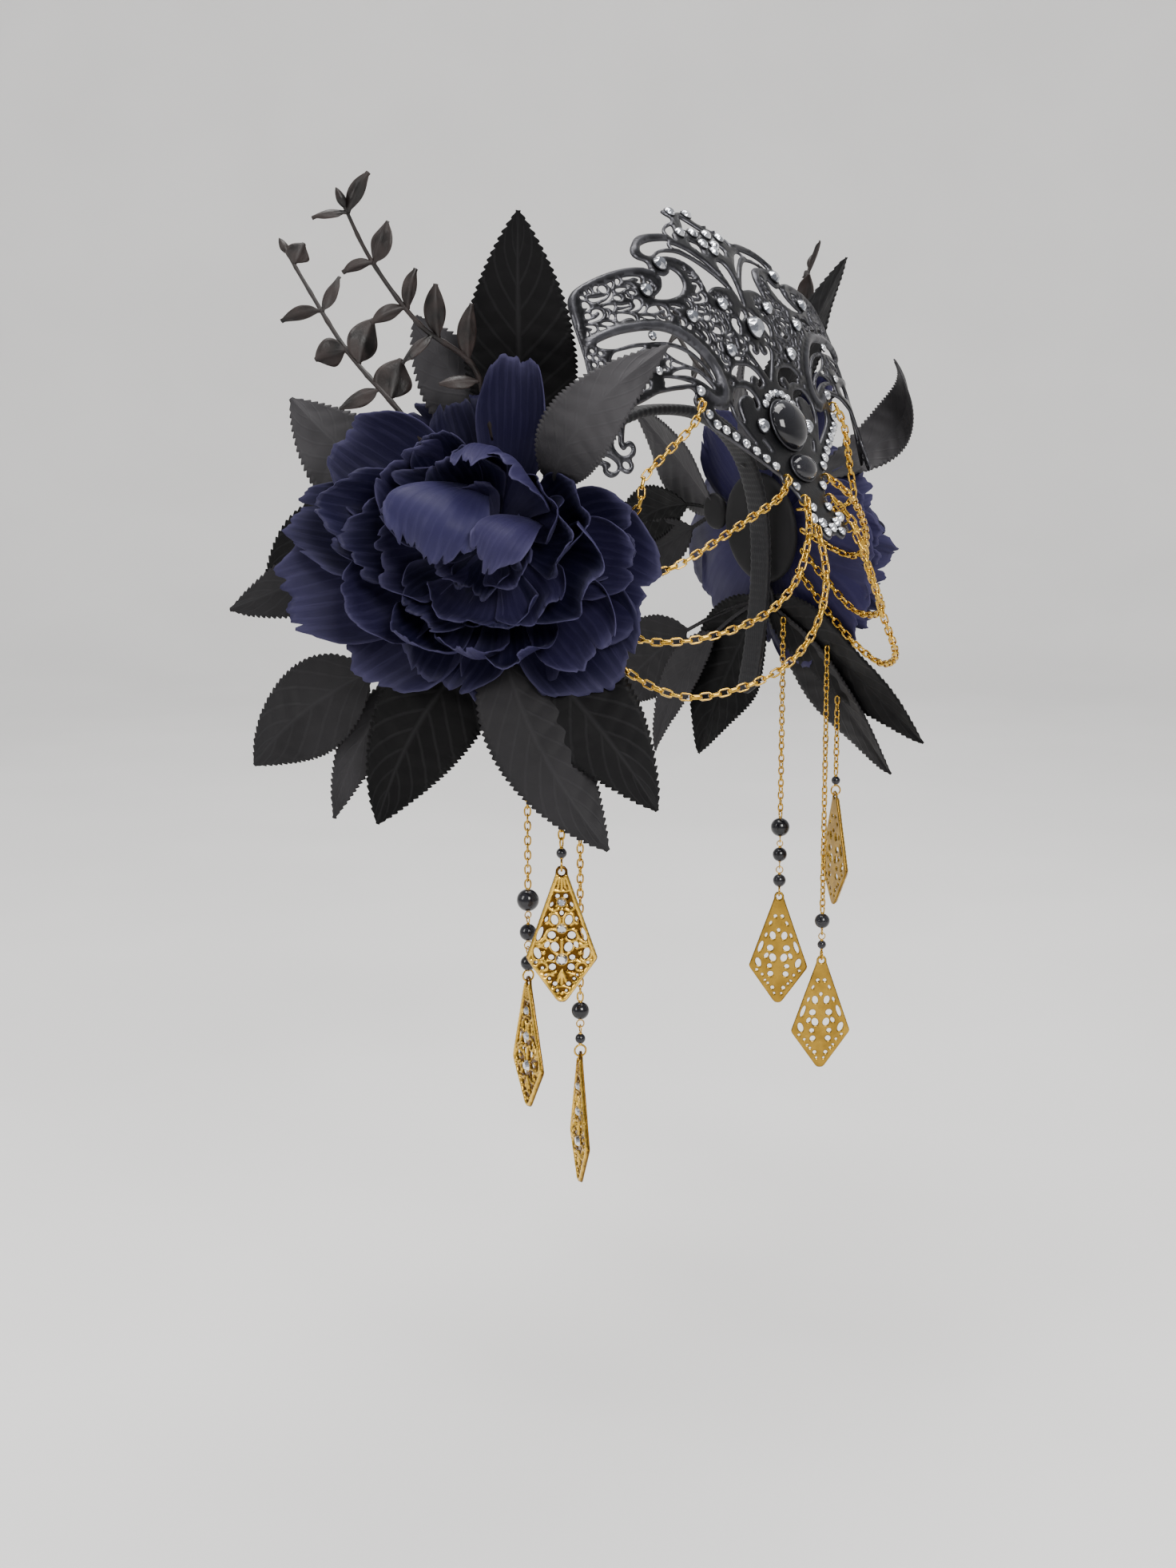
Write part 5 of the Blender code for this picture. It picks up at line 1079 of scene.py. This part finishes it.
# Kite stampings: outline, gaps and raised scrollwork of the right half, then stones
KITE_EDGE = [0, 2.25, -1.2, 1.9, -2.0, 0.8, -2.15, -0.9, -11.9, -28.6, -12.2, -29.6,
             -11.9, -30.5, -2.0, -44.4, -1.1, -45.2, 0, -45.4]
KITE_GAPS = [(-1.4, -8.3, 0.75, 0.75, 0), (-3.4, -11.2, 0.5, 0.9, -30),
             (0.0, -14.2, 0.7, 0.8, 0), (-2.4, -16.6, 1.2, 1.7, 12),
             (-7.4, -21.4, 0.8, 2.5, -20), (-3.4, -21.9, 1.35, 1.25, 0),
             (-2.3, -26.0, 1.35, 1.7, 20), (-8.3, -28.2, 1.1, 2.0, 18),
             (-5.0, -25.2, 0.8, 1.2, -30), (-3.6, -29.6, 1.0, 0.9, 0),
             (-3.2, -33.0, 1.2, 1.1, 30), (-6.6, -33.4, 0.55, 0.55, 0),
             (-8.9, -31.4, 0.6, 0.5, 0), (-4.2, -37.1, 0.5, 0.5, 0),
             (-2.3, -38.9, 0.8, 0.75, 0), (-1.5, -41.3, 0.45, 0.5, 0),
             (-5.4, -35.8, 0.6, 0.4, 30), (-5.2, -16.4, 0.5, 1.0, -20)]
KITE_LINES = [
    (0.62, 0.80, [-1.5, -1.2, -3.6, -7.2, -6.0, -14.0, -8.4, -20.8, -10.6, -27.1, -11.2, -29.0,
                  -11.0, -30.1, -10.2, -31.5, -7.2, -35.7, -4.3, -39.8, -1.6, -43.6, 0, -44.5]),
    (0.42, 0.60, [-2.7, -6.0, -1.3, -6.5, 0, -6.4]),
    (0.36, 0.55, [-0.7, -1.9, -1.3, -5.4]), (0.36, 0.55, [0, -2.0, 0, -5.6]),
    (0.40, 0.60, [-1.2, -12.6, -2.9, -13.3, -4.2, -12.2, -3.8, -10.9]),
    (0.42, 0.65, [-1.0, -18.4, -0.6, -16.0, -1.9, -14.2, -3.7, -14.6, -4.2, -16.6,
                  -3.3, -18.2, -2.4, -17.6]),
    (0.42, 0.60, [-1.8, -20.0, -3.9, -19.8, -5.4, -21.6, -4.8, -23.6, -2.8, -24.0,
                  -1.4, -22.9]),
    (0.46, 0.65, [-5.6, -22.0, -6.6, -23.6, -8.4, -24.2]),
    (0.46, 0.65, [-4.8, -24.0, -6.4, -24.9, -8.6, -24.9]),
    (0.55, 0.75, [0, -23.6, 0, -27.8]),
    (0.42, 0.60, [-1.2, -28.9, -3.0, -27.2, -4.4, -25.6, -5.6, -24.6]),
    (0.44, 0.65, [-5.2, -26.2, -7.6, -25.8, -9.8, -27.2, -9.7, -29.6, -7.9, -30.8,
                  -6.4, -30.0]),
    (0.40, 0.55, [-2.6, -31.0, -4.6, -30.6, -6.4, -31.2]),
    (0.42, 0.65, [-2.0, -34.6, -3.8, -35.4, -6.6, -35.6, -8.8, -33.9, -8.4, -31.9, -6.5, -31.3,
                  -4.9, -32.5, -5.3, -34.0, -6.7, -34.2]),
    (0.36, 0.55, [-3.0, -35.9, -4.2, -35.6, -5.4, -36.6, -5.0, -38.0, -3.8, -38.2]),
    (0.45, 0.65, [0, -34.2, -0.9, -36.2, -1.5, -38.2]), (0.45, 0.65, [0, -34.6, 0, -38.8]),
    (0.36, 0.55, [0, -39.6, -1.6, -39.9, -2.9, -40.6, -2.4, -42.0, -1.0, -41.9]),
]
KITE_BEADS = [(-5.0, -17.6, 0.62), (-6.3, -28.0, 0.72), (-10.0, -30.8, 0.7),
              (-2.9, -35.0, 0.5), (-4.0, -23.2, 0.45), (0.0, -42.2, 0.55), (0.0, -12.9, 0.45),
              (-1.7, -11.6, 0.4), (-7.2, -23.0, 0.45)]
KITE_STONES = [(0.0, -10.3, 1.6), (0.0, -19.4, 1.75), (0.0, -30.2, 2.05)]
KITE_MOST_RELIEF = 1.0
KITE_FIELD_LIFT = 0.55


def oval_loop(u, v, ru, rv, turn, gap=0.4):
    a = math.radians(turn)
    spin = np.array([[math.cos(a), math.sin(a)], [-math.sin(a), math.cos(a)]])
    return circle(0, 0, ru, rv, max(8, int(2.5 * (ru + rv) / gap))) @ spin + (u, v)


def kite_sheet():
    """The stamping, flat: pierced sheet with raised scrolls and beads."""
    edge = even(np.concatenate([mirror_join(KITE_EDGE), [KITE_EDGE[:2]]]), gap=0.42)[:-1]
    gaps = [circle(0, 0, 1.15, 1.15, 16)]
    for row in KITE_GAPS:
        loop = oval_loop(*row)
        gaps += both([loop]) if row[0] < -0.2 else [loop]
    ribs = [(wide, high, pairs(line) * (side, 1.0)) for wide, high, line in KITE_LINES
            for side in (1, -1)]
    for u, v, r in KITE_BEADS:
        ribs += [(r, r * 1.2, np.array([[side * u + shift, v] for shift in (-0.02, 0, 0.02)]))
                 for side in (1, -1)]
    return pierced(edge, gaps, ribs, 0.40, 0.45, 0.5)


def kite_parts(key, sheet):
    """The flat stamping hung on the strand's ring, with its stones in wire cups."""
    flat, front, back, tris, away, lift = sheet
    x, y, _, _, end, face = STRANDS[key]
    eye, out = np.array([x, y, end - RING_R - 0.4]), facing(face)
    axes = np.stack([unit(np.cross(UP, out)), UP, out])

    def hung(u, v, w):
        return eye + np.stack([u, v, w], -1) @ axes

    front = np.minimum(front - 0.15, KITE_MOST_RELIEF)
    wall = plate_wall(hung(*flat.T, front), hung(*flat.T, back - 0.1), tris)
    # Painted highlight on the raised scrolls; the sunk field keeps the dark gold as painted
    # shade; the back gets an even mix.
    wear = np.concatenate([np.clip(lift / 0.5, 0, 1), away * 0 + 0.4])
    u, v, radius = np.array(KITE_STONES).T
    centres = hung(u, v, 0 * u + KITE_FIELD_LIFT)
    cups = [part(*ring_loop(c - out * 0.15, out, r * 1.02, 0.3, 24, 6), wear=0.6)
            for c, r in zip(centres, radius)]
    stone_axes = np.repeat(axes[:, None], len(radius), 1)
    return [part(*wall, wear=wear), cut_stones(centres, stone_axes, radius, 1)] + cups


# Hoop, and domes as u, v, half width, half height and rise

BAND_HALF_WIDTH = 76.0
BAND_DEPTH = 80.0
BAND_THICK = 4.4
BAND_WIDE = 9.0
BAND_SWEEP = math.radians(108.0)
BAND_ROUNDNESS = 2 / 2.4
BAND_RIBS = 105
BAND_RINGS = 421
BAND_SIDES = 26
CABOCHONS = {"big_cabochon": (0.0, -4.6, 9.6, 9.2, 6.0),
             "small_cabochon": (0.0, -21.0, 6.9, 4.8, 4.0)}
DOME_SIDES = 56


def hoop():
    """The cloth hoop: a rounded oblong section carried over the head, ribbed across, with
    gathered ends; and the wire struts under the leaves that carry the crown."""
    t = np.linspace(-1, 1, BAND_RINGS)
    a = np.abs(t) * BAND_SWEEP
    mid = BAND_THICK / 2
    x = (BAND_HALF_WIDTH + mid) * powered(np.sin(a), BAND_ROUNDNESS) * np.sign(t)
    z = (BAND_DEPTH + mid) * powered(np.cos(a), BAND_ROUNDNESS) - BAND_DEPTH
    path = even(np.stack([x, -5.0 - 0.10 * z, z], -1), count=BAND_RINGS)
    side, out = along_path(path, np.array([0.0, 1.0, 0.0]))[1:]
    run = np.linspace(0, 1, BAND_RINGS)
    groove = 0.5 - 0.5 * np.cos(run * 2 * np.pi * BAND_RIBS)
    end = np.clip(np.minimum(run, 1 - run) / 0.012, 0.05, 1) ** 0.5
    high = (BAND_THICK / 2 - 0.12 - 0.34 * groove) * end
    wide = (BAND_WIDE / 2 - 0.1 - 0.22 * groove) * end
    q = turns(BAND_SIDES)
    verts = (path[:, None] + side[:, None] * (powered(np.cos(q), 0.6) * wide[:, None])[..., None]
             + out[:, None] * (powered(np.sin(q), 0.6) * high[:, None])[..., None])
    parts = [part(verts, tube_faces(BAND_RINGS, BAND_SIDES), run=np.repeat(run, BAND_SIDES))]
    for k in (-1.0, 1.0):
        strut = [(k * 56.0, -3.0, -19.0), (k * 64.0, -8.0, -6.0),
                 on_plate(k * 78.0, 14.0, -10.0), on_plate(k * 81.0, 17.0, -2.2)]
        parts.append(part(*round_tube(spline(strut, 10), 1.3, 12), run=0.5))
    return parts


def cabochon(u, v, ru, rv, high):
    """An oval dome: rings of an ellipse that shrink as a cosine while they rise as a sine;
    and the wire bezel round its foot."""
    rise = np.linspace(0, 1, 20)[1:, None] * np.pi / 2
    shrink = np.concatenate([[[0.97], [1.0]], np.cos(rise * 0.985)])
    lift = np.concatenate([[[0.0], [0.5]], 0.5 + (high - 0.5) * np.sin(rise)])
    centre = on_plate(u, v, PLATE_HALF + STONE_GAP)
    axes = np.stack(plate_axes(u, v))
    t, q = turns(DOME_SIDES), turns(8)

    def ovals(t, rx, ry, z):
        return centre + np.stack([rx * np.cos(t), ry * np.sin(t), z + 0 * t], -1) @ axes

    dome = ovals(t, ru * shrink, rv * shrink, lift)
    wire = 0.25 + 0.5 * np.cos(q)
    bezel = ovals(t[:, None], ru + wire, rv + wire, 0.25 + 0.55 * np.sin(q))
    return [part(dome, tube_faces(len(shrink), DOME_SIDES)),
            part(bezel, [ring_faces(DOME_SIDES, 8)], 1, wear=0.4)]


# Shared effects, each a node group that gives masks or heights

class Nodes:
    """The node tree of a material or group; each method adds a node and gives its output."""

    def __init__(self, tree):
        self.nodes, self.links = tree.nodes, tree.links

    def feed(self, node, key, value):
        """Sets an input to a number or a colour, or links an output to it."""
        if isinstance(value, (int, float)):
            node.inputs[key].default_value = value
        elif isinstance(value, tuple):
            node.inputs[key].default_value = (*value, 1.0)
        else:
            self.links.new(value, node.inputs[key])

    def add(self, kind, **inputs):
        node = self.nodes.new("ShaderNode" + kind)
        for key, value in inputs.items():
            self.feed(node, key.replace("_", " "), value)
        return node

    def maths(self, kind, *values, clamp=False):
        node = self.add("Math")
        node.operation, node.use_clamp = kind, clamp
        for key, value in enumerate(values):
            self.feed(node, key, value)
        return node.outputs[0]

    def times(self, a, b, clamp=False):
        return self.maths("MULTIPLY", a, b, clamp=clamp)

    def spread(self, value, low, high, to_low=0.0, to_high=1.0):
        """The run from low to high stretched to the run from to_low to to_high."""
        return self.add("MapRange", Value=value, From_Min=low, From_Max=high, To_Min=to_low,
                        To_Max=to_high).outputs["Result"]

    def blend(self, amount, a, b):
        """A mix of two colours."""
        node = self.add("Mix")
        node.data_type = "RGBA"
        for key, value in ((0, amount), (6, a), (7, b)):
            self.feed(node, key, value)
        return node.outputs[2]

    def own(self, name):
        """The piece's own value of this name."""
        node = self.add("Attribute")
        node.attribute_name = name
        return node.outputs["Fac"]

    def use(self, group, **inputs):
        """A shared effect, with this material's values."""
        node = self.add("Group")
        node.node_tree = group
        for key, value in inputs.items():
            self.feed(node, key.replace("_", " "), value)
        return node.outputs

    def grain(self, size, broad):
        return self.use(GRAIN, Size=size, Broad_Size=broad)


def effect(name, outputs, **inputs):
    """An empty node group with named outputs, and named inputs with their start values."""
    group = bpy.data.node_groups.new(name, "ShaderNodeTree")
    for key, start in inputs.items():
        item = group.interface.new_socket(key.replace("_", " "), in_out="INPUT",
                                          socket_type="NodeSocketFloat")
        item.default_value = start
    for key in outputs:
        group.interface.new_socket(key, in_out="OUTPUT", socket_type="NodeSocketFloat")
    tree = Nodes(group)
    given = tree.nodes.new("NodeGroupInput").outputs
    return group, tree, given, tree.nodes.new("NodeGroupOutput")


def grain_effect():
    """Fine noise at two sizes: gives a mask 0 to 1 and a height."""
    group, tree, given, result = effect("fine grain", ("Mask", "Height"), Size=900.0,
                                        Broad_Size=90.0)
    place = tree.add("TexCoord").outputs["Object"]
    fine = tree.add("TexNoise", Vector=place, Scale=given["Size"], Detail=3.0, Roughness=0.6)
    broad = tree.add("TexNoise", Vector=place, Scale=given["Broad Size"], Detail=2.0,
                     Roughness=0.5)
    tree.feed(result, "Mask", tree.spread(broad.outputs["Fac"], 0.35, 0.65))
    tree.feed(result, "Height", fine.outputs["Fac"])
    return group


def weave_effect():
    """Crossed threads over two flat coordinates: gives a height and a thread mask."""
    group, tree, given, result = effect("thread weave", ("Height", "Mask"), Along=0.0,
                                        Across=0.0, Threads=200.0)
    warp, weft = (tree.maths("SINE", tree.times(given[key], given["Threads"]))
                  for key in ("Along", "Across"))
    tree.feed(result, "Height", tree.maths("MAXIMUM", warp, weft))
    tree.feed(result, "Mask", tree.spread(tree.times(warp, weft), -1.0, 1.0))
    return group


def vein_effect():
    """Fan of veins over a petal: lines that run along it and spread from its middle,
    broken up by noise stretched the same way."""
    group, tree, given, result = effect("fan veins", ("Mask", "Height"), Along=0.0,
                                        Across=0.0, Lines=30.0, Stray=1.0)
    place = tree.add("CombineXYZ", X=tree.times(given["Across"], 9.0),
                     Y=tree.times(given["Along"], 1.6)).outputs[0]
    noise = tree.add("TexNoise", Vector=place, Scale=1.0, Detail=4.0,
                     Roughness=0.65).outputs["Fac"]
    stray = tree.times(tree.times(noise, given["Stray"]), 6.0)
    run = tree.times(given["Across"], given["Lines"])
    wave = tree.maths("SINE", tree.maths("ADD", run, stray))
    tree.feed(result, "Mask", tree.times(tree.spread(wave, 0.35, 1.0),
                                         tree.spread(noise, 0.3, 0.7, 0.25, 1.0)))
    tree.feed(result, "Height", wave)
    return group


GRAIN, WEAVE, VEINS = grain_effect(), weave_effect(), vein_effect()


# Finishes

class Paint(Nodes):
    """A material under way: the shader with its plain values, then what is linked to it."""

    def __init__(self, name, **values):
        self.material = bpy.data.materials.new(name)
        self.material.use_nodes = True
        super().__init__(self.material.node_tree)
        self.shader = self.nodes["Principled BSDF"]
        for key, value in values.items():
            self.feed(self.shader, key.replace("_", " "), value)

    def done(self, colour, mask, smooth, rough, height=None, depth=0.0, strength=1.0):
        """Gives the material, with its colour, its roughness spread from smooth to rough
        by a mask, and its bump."""
        self.feed(self.shader, "Base Color", colour)
        self.feed(self.shader, "Roughness", self.spread(mask, 0.0, 1.0, smooth, rough))
        if height:
            raised = self.add("Bump", Distance=depth, Strength=strength, Height=height)
            self.feed(self.shader, "Normal", raised.outputs["Normal"])
        return self.material


def metal(name, dark, bright, metallic, smooth, rough, size, broad, depth):
    """Cast or rolled metal: duller dark colour in the flats, brighter where it is rubbed and
    where a painted highlight lies on edges, raised ribs and scrolls.
    """
    paint = Paint(name, Metallic=metallic)
    grain = paint.grain(size, broad)
    # The mix toward the bright colour stands for rubbing and painted highlight.
    wear_and_highlight_mix = paint.times(paint.own("wear"), paint.spread(grain["Mask"], 0.0, 1.0, 0.55, 1.0),
                       clamp=True)
    return paint.done(paint.blend(wear_and_highlight_mix, dark, bright), grain["Mask"], smooth, rough,
                      grain["Height"], depth)


def black_glass():
    """Polished glass with a faint cloudiness."""
    paint = Paint("black glass", Coat_Weight=0.2, Coat_Roughness=0.04, Specular_IOR_Level=0.35)
    mask = paint.grain(260.0, 40.0)["Mask"]
    colour = paint.blend(mask, (0.006, 0.006, 0.008), (0.014, 0.014, 0.018))
    return paint.done(colour, mask, 0.07, 0.13)


def clear_stone():
    """Foiled stone: each face of the cut keeps its own brightness, a painted glint from dark grey
    to white, under a hard clear coat.
    """
    paint = Paint("clear stone", Metallic=0.85, Coat_Weight=1.0, Coat_Roughness=0.02)
    shade = paint.spread(paint.own("facet"), 0.05, 0.95)
    # Painted glints: each face of the cut from dark grey to white by its mark.
    painted_glint_colour = paint.blend(shade, (0.16, 0.17, 0.2), (0.93, 0.94, 0.97))
    cloud = paint.times(paint.grain(500.0, 300.0)["Mask"], 0.25)
    return paint.done(paint.blend(cloud, painted_glint_colour, (0.75, 0.8, 0.9)), shade, 0.05, 0.16)


def band_cloth():
    """Black ribbed ribbon: ribs in the mesh, threads and a faint rubbed haze here."""
    paint = Paint("ribbed band cloth", Sheen_Weight=0.08, Sheen_Roughness=0.4,
                  Specular_IOR_Level=0.3)
    place = paint.add("SeparateXYZ", Vector=paint.add("TexCoord").outputs["Object"])
    weave = paint.use(WEAVE, Along=paint.own("run"), Across=place.outputs["Y"],
                      Threads=6500.0)
    mask = paint.grain(1400.0, 70.0)["Mask"]
    shade = paint.times(weave["Mask"], paint.spread(mask, 0.0, 1.0, 0.6, 1.0))
    colour = paint.blend(shade, (0.004, 0.004, 0.005), (0.013, 0.013, 0.016))
    return paint.done(colour, mask, 0.5, 0.68, weave["Height"], 0.00008, 0.6)


def navy_silk():
    """Petal satin: dark navy as painted shade on the cupped face, a lighter violet as painted
    light on the outer face and a painted highlight along the rim, with pale vein lines that
    spread toward the rim."""
    paint = Paint("navy silk", Sheen_Weight=0.06, Sheen_Roughness=0.35,
                  Specular_IOR_Level=0.12, Sheen_Tint=(0.5, 0.5, 0.85))
    along = paint.own("along")
    veins = paint.use(VEINS, Along=along, Across=paint.own("across"), Lines=34.0, Stray=1.6)
    mask = paint.grain(1200.0, 60.0)["Mask"]
    # Painted light: the outer face lighter violet, the cupped face dark navy as painted shade.
    colour = paint.blend(paint.own("inner"), (0.0034, 0.0034, 0.015), (0.017, 0.015, 0.05))
    colour = paint.blend(paint.times(paint.own("tone"), 0.55), colour, (0.02, 0.0165, 0.05))
    lines = paint.times(veins["Mask"], paint.spread(along, 0.1, 0.9, 0.04, 0.26))
    colour = paint.blend(lines, colour, (0.052, 0.047, 0.105))
    # Painted highlight along the rim.
    rim = paint.times(paint.own("rim"), paint.spread(mask, 0.0, 1.0, 0.2, 0.6))
    colour = paint.blend(rim, colour, (0.06, 0.055, 0.115))
    return paint.done(colour, mask, 0.48, 0.64, veins["Height"], 0.00006, 0.5)


def black_leaf():
    """Stiffened leaf cloth: near black with a painted grey sheen, a paler middle rib and slanting
    side veins pressed in."""
    paint = Paint("black leaf cloth", Sheen_Weight=0.01, Sheen_Roughness=0.5,
                  Specular_IOR_Level=0.10)
    away = paint.maths("ABSOLUTE", paint.own("across"))
    mask = paint.grain(1500.0, 55.0)["Mask"]
    slant = paint.maths("SUBTRACT", paint.own("along"), paint.times(away, 0.24))
    side = paint.spread(paint.maths("SINE", paint.times(slant, 62.0)), 0.72, 1.0)
    rib = paint.spread(away, 0.0, 0.07, 1.0, 0.0)
    lines = paint.maths("MAXIMUM", paint.times(side, 0.55), rib)
    # Painted sheen: grey over the black by the leaf's amount, broken up by grain.
    painted_sheen = paint.times(paint.own("tone"), paint.spread(mask, 0.0, 1.0, 0.7, 1.0))
    colour = paint.blend(painted_sheen, (0.0016, 0.0016, 0.0019), (0.052, 0.05, 0.054))
    colour = paint.blend(paint.times(lines, 0.16), colour, (0.05, 0.049, 0.053))
    return paint.done(colour, mask, 0.46, 0.66, lines, 0.0002, 0.6)


def brown_twig():
    """Dull brown stem, paler at the leaves' rims."""
    paint = Paint("brown twig", Specular_IOR_Level=0.35)
    grain = paint.grain(1100.0, 140.0)
    colour = paint.blend(grain["Mask"], (0.0045, 0.0036, 0.0036), (0.019, 0.0125, 0.0115))
    colour = paint.blend(paint.times(paint.own("rim"), 0.5), colour, (0.03, 0.02, 0.018))
    return paint.done(colour, grain["Mask"], 0.38, 0.6, grain["Height"], 0.00018, 0.7)


def studio_paper():
    paint = Paint("studio paper", Specular_IOR_Level=0.2)
    mask = paint.grain(60.0, 4.0)["Mask"]
    return paint.done(paint.blend(mask, (0.72, 0.715, 0.71), (0.75, 0.745, 0.74)), mask, 0.8, 0.9)


# Metals: dark colour, bright colour of rubbing and painted highlight, metallic, smooth, rough,
# fine and broad grain, depth
FINISHES = {
    # The black plate's bright colour is rubbing and painted highlight on edges and ribs.
    "black_plate": metal("black plate", (0.010, 0.010, 0.012), (0.085, 0.085, 0.097), 0.75,
                         0.28, 0.44, 1300.0, 130.0, 0.00005),
    "gold_chain": metal("yellow gold chain", (0.30, 0.15, 0.02), (0.92, 0.60, 0.095), 1.0,
                        0.12, 0.24, 1500.0, 210.0, 0.00002),
    # The stamping's dark gold is painted shade in the sunk field, its bright gold a painted
    # highlight on the scrolls.
    "gold_stamping": metal("gold stamping", (0.10, 0.045, 0.007), (0.88, 0.55, 0.085), 1.0,
                           0.16, 0.30, 1400.0, 180.0, 0.00004),
    "black_glass": black_glass(), "clear_stone": clear_stone(), "band_cloth": band_cloth(),
    "navy_silk": navy_silk(), "black_leaf": black_leaf(), "brown_twig": brown_twig(),
}


# Pieces

def middle_pieces():
    """Crown, its small stones, the stone and domes on its middle line, and the hoop."""
    small = PLATE_STONES + [(-u, v, r) for u, v, r in PLATE_STONES] + CENTRE_STONES
    gems, *cups = set_stones(small, PLATE_HALF + STONE_GAP)
    piece("crown_plate", [crown_shell()] + [dict(cup, mat=0) for cup in cups],
          ["black_plate"], name="crown-lace")
    piece(None, [gems], ["clear_stone"], name="crown-stones")
    for node, row in CABOCHONS.items():
        piece(node, cabochon(*row), ["black_glass", "black_plate"])
    piece("stone_centre", set_stones([BIG_CENTRE_STONE], BIG_STONE_LIFT),
          ["clear_stone", "black_plate"], name="centre-stone")
    piece("head_band", hoop(), ["band_cloth"], name="hoop")


def side_pieces():
    """Node, shells and finishes of each piece of the wearer's right half."""
    for name, row in MAIN_STONES.items():
        yield ("stone_" + name, set_stones([row], BIG_STONE_LIFT),
               ["clear_stone", "black_plate"])
    yield "flower_base", [calyx()], ["black_leaf"]
    for name, rows in PETALS.items():
        seeds = 31 * len(rows) + 17 * np.arange(len(rows))
        yield name, [petal(row, seed) for row, seed in zip(rows, seeds)], ["navy_silk"]
    yield "leaf_front", [leaf_front()], ["black_leaf"]
    for name in LEAVES:
        yield name, leaf_spray(name), ["black_leaf"]
    for name in TWIGS:
        yield name, twig(name), ["brown_twig"]
    for name in CHAINS:
        yield name, brow_chain(name), ["gold_chain"]
    sheet = kite_sheet()
    for key in STRANDS:
        yield "strand_" + key, strand(key), ["gold_chain", "black_glass"]
        yield "kite_" + key, kite_parts(key, sheet), ["gold_stamping", "clear_stone"]


middle_pieces()
half = list(side_pieces())
for side in ("_r", "_l"):
    for node, shells, slots in half:
        swings = node.startswith("kite_")
        piece(node, shells, slots, side,
              body=node.replace("kite", "pendant") + side if swings else ROOT_BODY)


# Studio floor, wall and lights

FLOOR_DROP = 0.36
FLOOR_TURNS = 96
# Soft boxes: place, width, height, power, and where each points
LIGHTS = {"front soft box": ((-0.75, -1.15, 0.65), 0.7, 0.7, 25.0, (-0.05, -0.02, 0.0)),
          "side soft box": ((-1.25, 0.55, 0.55), 0.5, 0.8, 9.0, (-0.05, -0.02, 0.0)),
          "top soft box": ((-0.05, 0.0, 1.2), 0.8, 0.8, 17.0, (-0.05, -0.02, 0.0)),
          "wall wash": ((0.7, 0.45, 2.0), 1.6, 1.6, 46.0, (1.9, 1.4, 0.3))}
LIGHT_COLOUR = (1.0, 0.985, 0.965)
SKY_COLOUR = (0.80, 0.81, 0.83, 1)
SKY_STRENGTH = 0.6


def studio_floor():
    """A round pale floor that curves up into a wall, in metres: a flat run, a quarter bend
    and an upright run, turned about the middle."""
    t = np.linspace(0, np.pi / 2, 25)
    bend = np.stack([2.2 + np.sin(t), 1.0 - np.cos(t)], -1)
    reach, high = np.concatenate([[[0.02, 0.0], [1.2, 0.0]], bend, [[3.2, 2.4]]]).T[:, :, None]
    turn = turns(FLOOR_TURNS)
    verts = np.stack([reach * np.cos(turn), reach * np.sin(turn), high + 0 * turn - FLOOR_DROP],
                     -1)
    faces = grid_faces(len(reach), FLOOR_TURNS, True).tolist() + [list(range(FLOOR_TURNS))]
    mesh = bpy.data.meshes.new("studio floor")
    mesh.from_pydata(verts.reshape(-1, 3).tolist(), [], faces)
    mesh.polygons.foreach_set("use_smooth", np.ones(len(faces), bool))
    mesh.materials.append(studio_paper())
    return put("studio floor", mesh)


def studio_lights():
    for name, (place, wide, high, power, aim) in LIGHTS.items():
        data = bpy.data.lights.new(name, "AREA")
        data.shape, data.size, data.size_y, data.energy = "RECTANGLE", wide, high, power
        data.color = LIGHT_COLOUR
        lamp = put(name, data)
        lamp.location = place
        lamp.rotation_euler = (Vector(aim) - Vector(place)).to_track_quat("-Z", "Y").to_euler()
    world = bpy.data.worlds.new("studio")
    world.use_nodes = True
    sky = world.node_tree.nodes["Background"].inputs
    sky["Color"].default_value, sky["Strength"].default_value = SKY_COLOUR, SKY_STRENGTH
    bpy.context.scene.world = world


studio_floor()
studio_lights()
